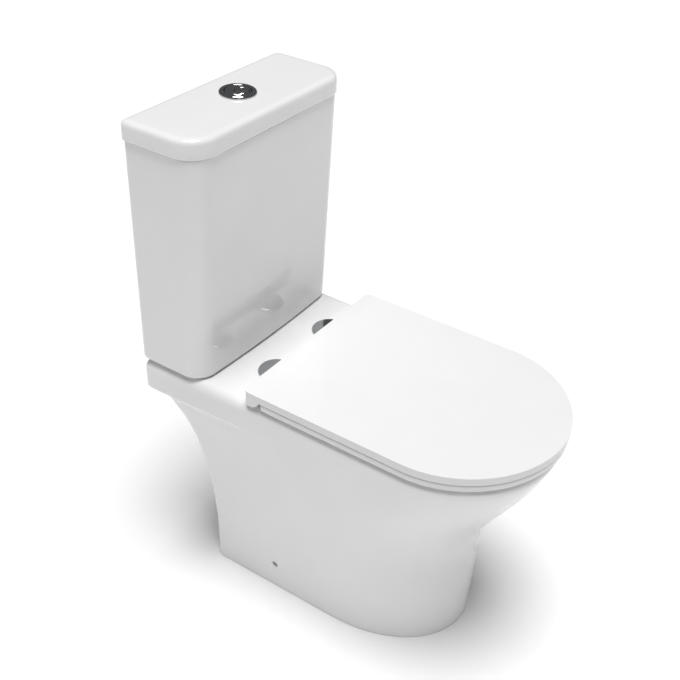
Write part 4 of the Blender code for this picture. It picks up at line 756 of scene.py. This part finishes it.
cut(full_button, hidden_cutter(well_form, "half_button_well"))

half = [(0, half_high.z - 0.0004), (HALF_RADIUS * 0.5, half_high.z - 0.0002),
        (HALF_RADIUS * 0.72, half_high.z)]
half += quarter(HALF_RADIUS - 0.0016, half_high.z - 0.0017, 0.0016, 80, 0)
half += [(HALF_RADIUS, half_low.z), (0, half_low.z)]
half_form = spun(half, 64)
bmesh.ops.translate(half_form, verts=half_form.verts, vec=(half_centre.x, half_centre.y, 0))
finished(half_form, "half_button_chrome", chrome, "half_button", ["half_flush_button"])

# ---------------------------------------------------------------- hinge rosettes
# Each hinge stands on a chrome cap, a shallow pressed disc that clips over the post's base. The cap is
# turned with a rounded shoulder and a thin rim that reaches down to the deck.
ROSETTE_FORWARD = 0.198
for tag in ("left", "right"):
    cap_low, cap_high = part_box("hinge_rosette_" + tag)
    centre = (cap_low + cap_high) / 2
    radius = cap_high.x - centre.x
    cap = [(0, cap_high.z), (radius * 0.5, cap_high.z - 0.00005), (radius - 0.008, cap_high.z - 0.0003)]
    cap += quarter(radius - 0.0045, cap_high.z - 0.0048, 0.0045, 78, 0, 9)
    cap += [(radius, cap_low.z + 0.0002), (radius - 0.0012, cap_low.z), (radius - 0.002, cap_high.z - 0.003),
            (radius - 0.008, cap_high.z - 0.0015), (0, cap_high.z - 0.0012)]
    cap_form = spun(cap, 96)
    bmesh.ops.translate(cap_form, verts=cap_form.verts, vec=(centre.x, at(ROSETTE_FORWARD), 0))
    finished(cap_form, "rosette_chrome_" + tag, chrome, "root", ["hinge_rosette_" + tag])

# ---------------------------------------------------------------- seat ring
# The seat is urea moulding powder pressed white and glossy (duroplast). The ring is a crowned band with a
# lug for each hinge pin on its rear edge.


def duroplast():
    """Pressed white plastic: gloss a touch softer than the glaze, very slightly wavy."""
    material, shader, place = surface("white_duroplast", IOR=1.50, Coat_Roughness=0.04)
    cloud = noise(place, 12.0, 2.0)
    fine = noise(place, 240.0, 2.0)
    colour = cloud.between(0.3, 0.7).mixed((0.79, 0.79, 0.79), (0.81, 0.81, 0.81))
    feed(shader, Base_Color=colour, Roughness=0.13 + cloud * 0.04 + fine * 0.02,
         Normal=bumps(cloud + fine * 0.02, 0.0004, 0.4))
    return material


seat_plastic = duroplast()
ring_low, ring_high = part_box("seat_ring")
cover_low, cover_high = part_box("seat_lid")
SEAT_HALF_WIDTH = cover_high.x
SEAT_FRONT = WALL_FACE - cover_low.y
SEAT_REAR = 0.2077
SEAT_STRAIGHT_TO = SEAT_FRONT - 0.1712
SEAT_ROUNDNESS = 1.95
SEAT_LID_TOP = cover_high.z
SEAT_LID_BOTTOM = SEAT_LID_TOP - 0.0130
RING_TOP = SEAT_LID_BOTTOM - 0.0015
RING_BOTTOM = RING_TOP - 0.0115
RING_REAR = 0.2405
RING_INSET = 0.0012
RING_EDGE = 0.0022
AXIS_FORWARD = 0.2212
AXIS_HEIGHT = SEAT_LID_TOP - 0.008
LOBE_RADIUS = 0.0175
LOBE_INNER_END = 0.108
HOLE_HALF_WIDTH = SEAT_HALF_WIDTH - 0.068
HOLE_REAR = 0.292
HOLE_FRONT = SEAT_FRONT - 0.072


def seat_ring_outline(inset):
    """The ring's outer plan, with a straight rear edge just in front of the hinges."""
    half_width = SEAT_HALF_WIDTH - RING_INSET - inset
    rear = RING_REAR + inset
    half = [(0.0, rear)]
    half += straight((0.0, rear), (half_width - 0.003, rear), 14)
    half += arc(half_width - 0.003, rear + 0.003, 0.003, -90, 0, 3)
    half += straight((half_width, rear + 0.003), (half_width, SEAT_STRAIGHT_TO), 15)
    half += round_front(half_width, SEAT_STRAIGHT_TO, SEAT_FRONT - RING_INSET - inset, SEAT_ROUNDNESS, 32)
    return both_sides(half)


def seat_hole_outline(grow):
    """The ring's egg-shaped opening, made larger by an amount."""
    middle = HOLE_REAR + (HOLE_FRONT - HOLE_REAR) * 0.42
    half = []
    steps = AROUND // 2
    for index in range(steps + 1):
        angle = math.pi * index / steps
        depth = middle - HOLE_REAR if index < steps / 2 else HOLE_FRONT - middle
        across = (HOLE_HALF_WIDTH + grow) * math.sin(angle) if 0 < index < steps else 0.0
        half.append((across, middle - (depth + grow) * math.cos(angle)))
    return both_sides(half)


def seat_band():
    """The ring's skin as a closed band with rounded edges and a top that falls to the opening."""
    rings = []
    outline = seat_ring_outline
    for index in range(7):
        angle = math.pi / 2 * index / 6
        rings.append(lifted(outline(RING_EDGE * (1 - math.cos(angle))),
                            RING_TOP - RING_EDGE * (1 - math.sin(angle))))
    outer = rings[-1]
    inner_drop = 0.0045
    inner = lifted(seat_hole_outline(0.006), RING_TOP - 0.0012)
    for index in range(1, 10):
        share = index / 10
        fall = 0.0012 * share ** 2
        blended = [a.lerp(b, share) for a, b in zip(outer, inner)]
        rings.append([Vector((point.x, point.y, RING_TOP - fall)) for point in blended])
    for index in range(9):
        angle = math.pi / 2 * index / 8
        rings.append(lifted(seat_hole_outline(0.006 * (1 - math.sin(angle))),
                            RING_TOP - 0.0012 - inner_drop * (1 - math.cos(angle))))
    rings.append(lifted(seat_hole_outline(0.0), RING_BOTTOM + 0.002))
    rings.append(lifted(seat_hole_outline(0.0006), RING_BOTTOM + 0.0006))
    rings.append(lifted(seat_hole_outline(0.002), RING_BOTTOM))
    rings.append(lifted(outline(0.002), RING_BOTTOM))
    rings.append(lifted(outline(0.0006), RING_BOTTOM + 0.0006))
    rings.append(lifted(outline(0.0), RING_BOTTOM + 0.002))
    rings.append(rings[0])
    return rings


ring_form = closed_skin(seat_band())
LUG_INNER = 0.0805
LUG_WIDTH = 0.012
LUG_RADIUS = 0.0052
for side in (-1, 1):
    middle = side * (LUG_INNER + LUG_WIDTH / 2)
    knuckle = bmesh.ops.create_cone(ring_form, cap_ends=True, segments=32, radius1=LUG_RADIUS,
                                    radius2=LUG_RADIUS, depth=LUG_WIDTH,
                                    matrix=Matrix.Translation((middle, at(AXIS_FORWARD), AXIS_HEIGHT))
                                    @ Matrix.Rotation(math.pi / 2, 4, "Y"))
    arm_length = RING_REAR + 0.008 - AXIS_FORWARD
    arm = bmesh.ops.create_cube(ring_form, size=1.0,
                                matrix=Matrix.Translation((middle, at(AXIS_FORWARD + arm_length / 2),
                                                           RING_TOP - 0.0030))
                                @ Matrix.Diagonal((LUG_WIDTH, arm_length, 0.0050, 1.0)))
    neck = bmesh.ops.create_cube(ring_form, size=1.0,
                                 matrix=Matrix.Translation((middle, at(AXIS_FORWARD),
                                                            (AXIS_HEIGHT + RING_TOP) / 2 - 0.0015))
                                 @ Matrix.Diagonal((LUG_WIDTH, LUG_RADIUS * 1.8,
                                                    AXIS_HEIGHT - RING_TOP + 0.001, 1.0)))
finished(ring_form, "seat_ring_moulding", seat_plastic, "seat", ["seat_ring"], sharp=40)

# ---------------------------------------------------------------- seat lid
# The lid is one flat pressing with crisp edges. At its rear corners it drops into two round lobes that hold
# the hinge pins and the dampers.
SEAT_CORNER_RADIUS = 0.012
LID_EDGE = 0.0020


def seat_lid_outline():
    """The lid's D-shaped plan as one ring of points."""
    rear = SEAT_REAR
    radius = SEAT_CORNER_RADIUS
    half = [(0.0, rear)]
    half += straight((0.0, rear), (SEAT_HALF_WIDTH - radius, rear), 2)
    half += arc(SEAT_HALF_WIDTH - radius, rear + radius, radius, -90, 0, 10)
    half += straight((SEAT_HALF_WIDTH, rear + radius), (SEAT_HALF_WIDTH, SEAT_STRAIGHT_TO), 3)
    half += round_front(SEAT_HALF_WIDTH, SEAT_STRAIGHT_TO, SEAT_FRONT, SEAT_ROUNDNESS, 48)
    return both_sides(half)


def plate(outline, bottom, top):
    """A flat plate of a plan outline between two heights."""
    form = bmesh.new()
    base = form.faces.new([form.verts.new((across, at(forward), bottom)) for across, forward in outline])
    raised = bmesh.ops.extrude_face_region(form, geom=[base])
    upper = [item for item in raised["geom"] if isinstance(item, bmesh.types.BMVert)]
    bmesh.ops.translate(form, verts=upper, vec=(0, 0, top - bottom))
    bmesh.ops.recalc_face_normals(form, faces=form.faces)
    return form


def cuboid(low, high):
    """A box between two corners given as (x, forward, z)."""
    form = bmesh.new()
    bmesh.ops.create_cube(form, size=1.0)
    size = [abs(b - a) for a, b in zip(low, high)]
    middle = [(a + b) / 2 for a, b in zip(low, high)]
    bmesh.ops.scale(form, verts=form.verts, vec=size)
    bmesh.ops.translate(form, verts=form.verts, vec=(middle[0], at(middle[1]), middle[2]))
    return form


def axle(start_x, end_x, radius, segments):
    """A cylinder on the hinge's axis."""
    form = bmesh.new()
    bmesh.ops.create_cone(form, cap_ends=True, segments=segments, radius1=radius, radius2=radius,
                          depth=abs(end_x - start_x),
                          matrix=Matrix.Translation(((start_x + end_x) / 2, at(AXIS_FORWARD), AXIS_HEIGHT))
                          @ Matrix.Rotation(math.pi / 2, 4, "Y"))
    return form


lobe_bottom = AXIS_HEIGHT - LOBE_RADIUS
cover = finished(plate(seat_lid_outline(), lobe_bottom - 0.001, SEAT_LID_TOP), "seat_lid_moulding",
                 seat_plastic, "lid", ["seat_lid"])
beyond = SEAT_HALF_WIDTH + 0.02
under = hidden_cutter(cuboid((-beyond, SEAT_REAR - 0.02, lobe_bottom - 0.02),
                             (beyond, SEAT_FRONT + 0.02, SEAT_LID_BOTTOM)), "lid_underside_tool")
cut(under, hidden_cutter(axle(-beyond - 0.01, beyond + 0.01, LOBE_RADIUS, 96), "lid_lobe_tool"))
cut(cover, under)
between_lobes = cuboid((-LOBE_INNER_END, SEAT_REAR - 0.02, lobe_bottom - 0.02),
                       (LOBE_INNER_END, AXIS_FORWARD + LOBE_RADIUS + 0.01, SEAT_LID_BOTTOM + 0.00002))
cut(cover, hidden_cutter(between_lobes, "lid_middle_tool"))
POCKET_INNER = 0.064
POCKET_OUTER = 0.093
for side in (-1, 1):
    near, far = sorted((side * POCKET_INNER, side * POCKET_OUTER))
    cut(cover, hidden_cutter(cuboid((near, SEAT_REAR - 0.02, SEAT_LID_BOTTOM - 0.01),
                                    (far, AXIS_FORWARD + 0.0085, SEAT_LID_TOP - 0.0018)),
                             f"lid_pocket_tool_{side + 1}"))
rounding = cover.modifiers.new("edges", "BEVEL")
rounding.width = LID_EDGE
rounding.segments = 4
rounding.limit_method = "ANGLE"
rounding.angle_limit = math.radians(50)
rounding.harden_normals = True

# The buffers are soft discs of pale rubber pressed into the underside of the ring and of the lid. Four of
# each keep the ring off the china and the lid off the ring.


def soft_rubber(name, dark, light, rough):
    """Moulded rubber with a fine dull grain."""
    material, shader, place = surface(name)
    grain = noise(place, 600.0, 3.0)
    colour = grain.between(0.3, 0.7).mixed(dark, light)
    feed(shader, Base_Color=colour, Roughness=rough + grain * 0.12, Normal=bumps(grain, 0.0002, 0.4))
    return material


white_rubber = soft_rubber("white_rubber", (0.66, 0.66, 0.64), (0.74, 0.74, 0.72), 0.45)
for body, prefix in (("seat", "seat_buffer_"), ("lid", "lid_buffer_")):
    for number in range(1, 5):
        low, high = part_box(f"{prefix}{number}")
        centre = (low + high) / 2
        radius = high.x - centre.x
        edge = min(0.0006, (high.z - low.z) * 0.3)
        disc = [(0, low.z), (radius - edge, low.z)]
        disc += quarter(radius - edge, low.z + edge, edge, -90, 0, 3)
        disc += [(radius, high.z), (0, high.z)]
        disc_form = spun(disc, 40)
        bmesh.ops.translate(disc_form, verts=disc_form.verts, vec=(centre.x, centre.y, 0))
        finished(disc_form, f"{prefix}{number}_rubber", white_rubber, body,
                 [f"{prefix}{number}"])

# ---------------------------------------------------------------- carried-over pieces
# The valves, bolts, nuts, hinge works and floor brackets keep the frame's own shapes and get their finishes:
# moulded acetal, black rubber, turned brass and zinc plated steel.


def acetal(name, dark, light):
    """Injection moulded plastic with a satin skin and slight flow marks."""
    material, shader, place = surface(name)
    flow = noise(place.node("ShaderNodeMapping", None, Vector=place, Scale=(30.0, 30.0, 8.0)), 1.0, 3.0)
    grain = noise(place, 700.0, 2.0)
    colour = flow.between(0.3, 0.7).mixed(dark, light)
    feed(shader, Base_Color=colour, Roughness=0.30 + grain * 0.15, Normal=bumps(grain, 0.0001, 0.3))
    return material


def plated(name, dark, light, rough):
    """Machined or plated metal with fine turning marks and patchy lustre."""
    material, shader, place = surface(name, Metallic=1.0)
    patch = noise(place, 60.0, 3.0)
    lines = noise(place.node("ShaderNodeMapping", None, Vector=place, Scale=(40.0, 40.0, 1800.0)), 1.0, 2.0)
    colour = patch.between(0.3, 0.7).mixed(dark, light)
    feed(shader, Base_Color=colour, Roughness=rough + lines * 0.15, Normal=bumps(lines, 0.0001, 0.3))
    return material


finishes = {
    "grey_plastic": acetal("grey_acetal", (0.42, 0.44, 0.47), (0.50, 0.52, 0.55)),
    "white_plastic": acetal("white_acetal", (0.74, 0.74, 0.72), (0.80, 0.80, 0.78)),
    "blue_plastic": acetal("blue_acetal", (0.05, 0.16, 0.42), (0.07, 0.20, 0.48)),
    "rubber": soft_rubber("black_rubber", (0.018, 0.018, 0.018), (0.03, 0.03, 0.03), 0.55),
    "brass": plated("brass", (0.62, 0.42, 0.16), (0.72, 0.52, 0.22), 0.25),
    "steel": plated("zinc_steel", (0.52, 0.53, 0.54), (0.66, 0.67, 0.67), 0.25),
}
slot_of = {row["node"]: row["material_slot"] for row in frame["record"]["subparts"]}
for node_name, node in frame["nodes"].items():
    slot_name = slot_of[node_name]
    if slot_name in finishes:
        node.data.materials.clear()
        node.data.materials.append(finishes[slot_name])

# ---------------------------------------------------------------- studio
# A pale plain floor under a bright ceiling, with a small window light from the front left. The ceiling is a
# sun lamp with a wide disc, so that the tops are bright and the shadows stay soft.
floor_form = bmesh.new()
bmesh.ops.create_grid(floor_form, x_segments=1, y_segments=1, size=12.0)
floor_mesh = bpy.data.meshes.new("studio_floor")
floor_form.to_mesh(floor_mesh)
floor_form.free()
floor = bpy.data.objects.new("studio_floor", floor_mesh)
bpy.context.scene.collection.objects.link(floor)
floor_paint, floor_shader, floor_place = surface("studio_floor", Roughness=0.9)
floor_shader.inputs["Base Color"].default_value = (0.92, 0.92, 0.92, 1.0)
floor_shader.inputs["Specular IOR Level"].default_value = 0.1
floor_mesh.materials.append(floor_paint)


def soft_light(name, place, target, size, power):
    """A square area light that points at a target."""
    lamp = bpy.data.lights.new(name, "AREA")
    lamp.shape = "SQUARE"
    lamp.size = size
    lamp.energy = power
    stand = bpy.data.objects.new(name, lamp)
    stand.location = place
    stand.rotation_mode = "QUATERNION"
    stand.rotation_quaternion = (Vector(target) - Vector(place)).to_track_quat("-Z", "Y")
    bpy.context.scene.collection.objects.link(stand)


soft_light("left_window", (-2.4, -2.4, 2.2), (0, 0, 0.5), 1.2, 3)
sky_lamp = bpy.data.lights.new("ceiling", "SUN")
sky_lamp.energy = 3.35
sky_lamp.angle = math.radians(34)
ceiling = bpy.data.objects.new("ceiling", sky_lamp)
ceiling.rotation_euler = (math.radians(4), math.radians(-5), 0)
bpy.context.scene.collection.objects.link(ceiling)
world = bpy.data.worlds.new("studio_air")
world.use_nodes = True
world.node_tree.nodes["Background"].inputs["Color"].default_value = (1.0, 1.0, 1.0, 1.0)
world.node_tree.nodes["Background"].inputs["Strength"].default_value = 0.10
bpy.context.scene.world = world
bpy.context.scene.view_settings.view_transform = "Standard"

# The camera looks down from the front left.
AZIMUTH = math.radians(-57.779)
ELEVATION = math.radians(36.940)
ROLL = math.radians(3.059)
DISTANCE = 1.7087
TARGET = Vector((0.0, 0.0489, 0.4))
SENSOR = 36.0
back = Vector((math.sin(AZIMUTH) * math.cos(ELEVATION), -math.cos(AZIMUTH) * math.cos(ELEVATION),
               math.sin(ELEVATION)))
right = Vector((math.cos(AZIMUTH), math.sin(AZIMUTH), 0.0))
up = back.cross(right)
right_rolled = math.cos(ROLL) * right + math.sin(ROLL) * up
up_rolled = back.cross(right_rolled)
camera_data = bpy.data.cameras.new("camera")
camera_data.sensor_width = SENSOR
camera_data.lens = SENSOR * 1.5232
camera_data.shift_x = -0.0081
camera_data.shift_y = 0.0612
camera = bpy.data.objects.new("camera", camera_data)
turn = Matrix((right_rolled, up_rolled, back)).transposed()
camera.matrix_world = Matrix.Translation(TARGET + back * DISTANCE) @ turn.to_4x4()
bpy.context.scene.collection.objects.link(camera)
bpy.context.scene.camera = camera
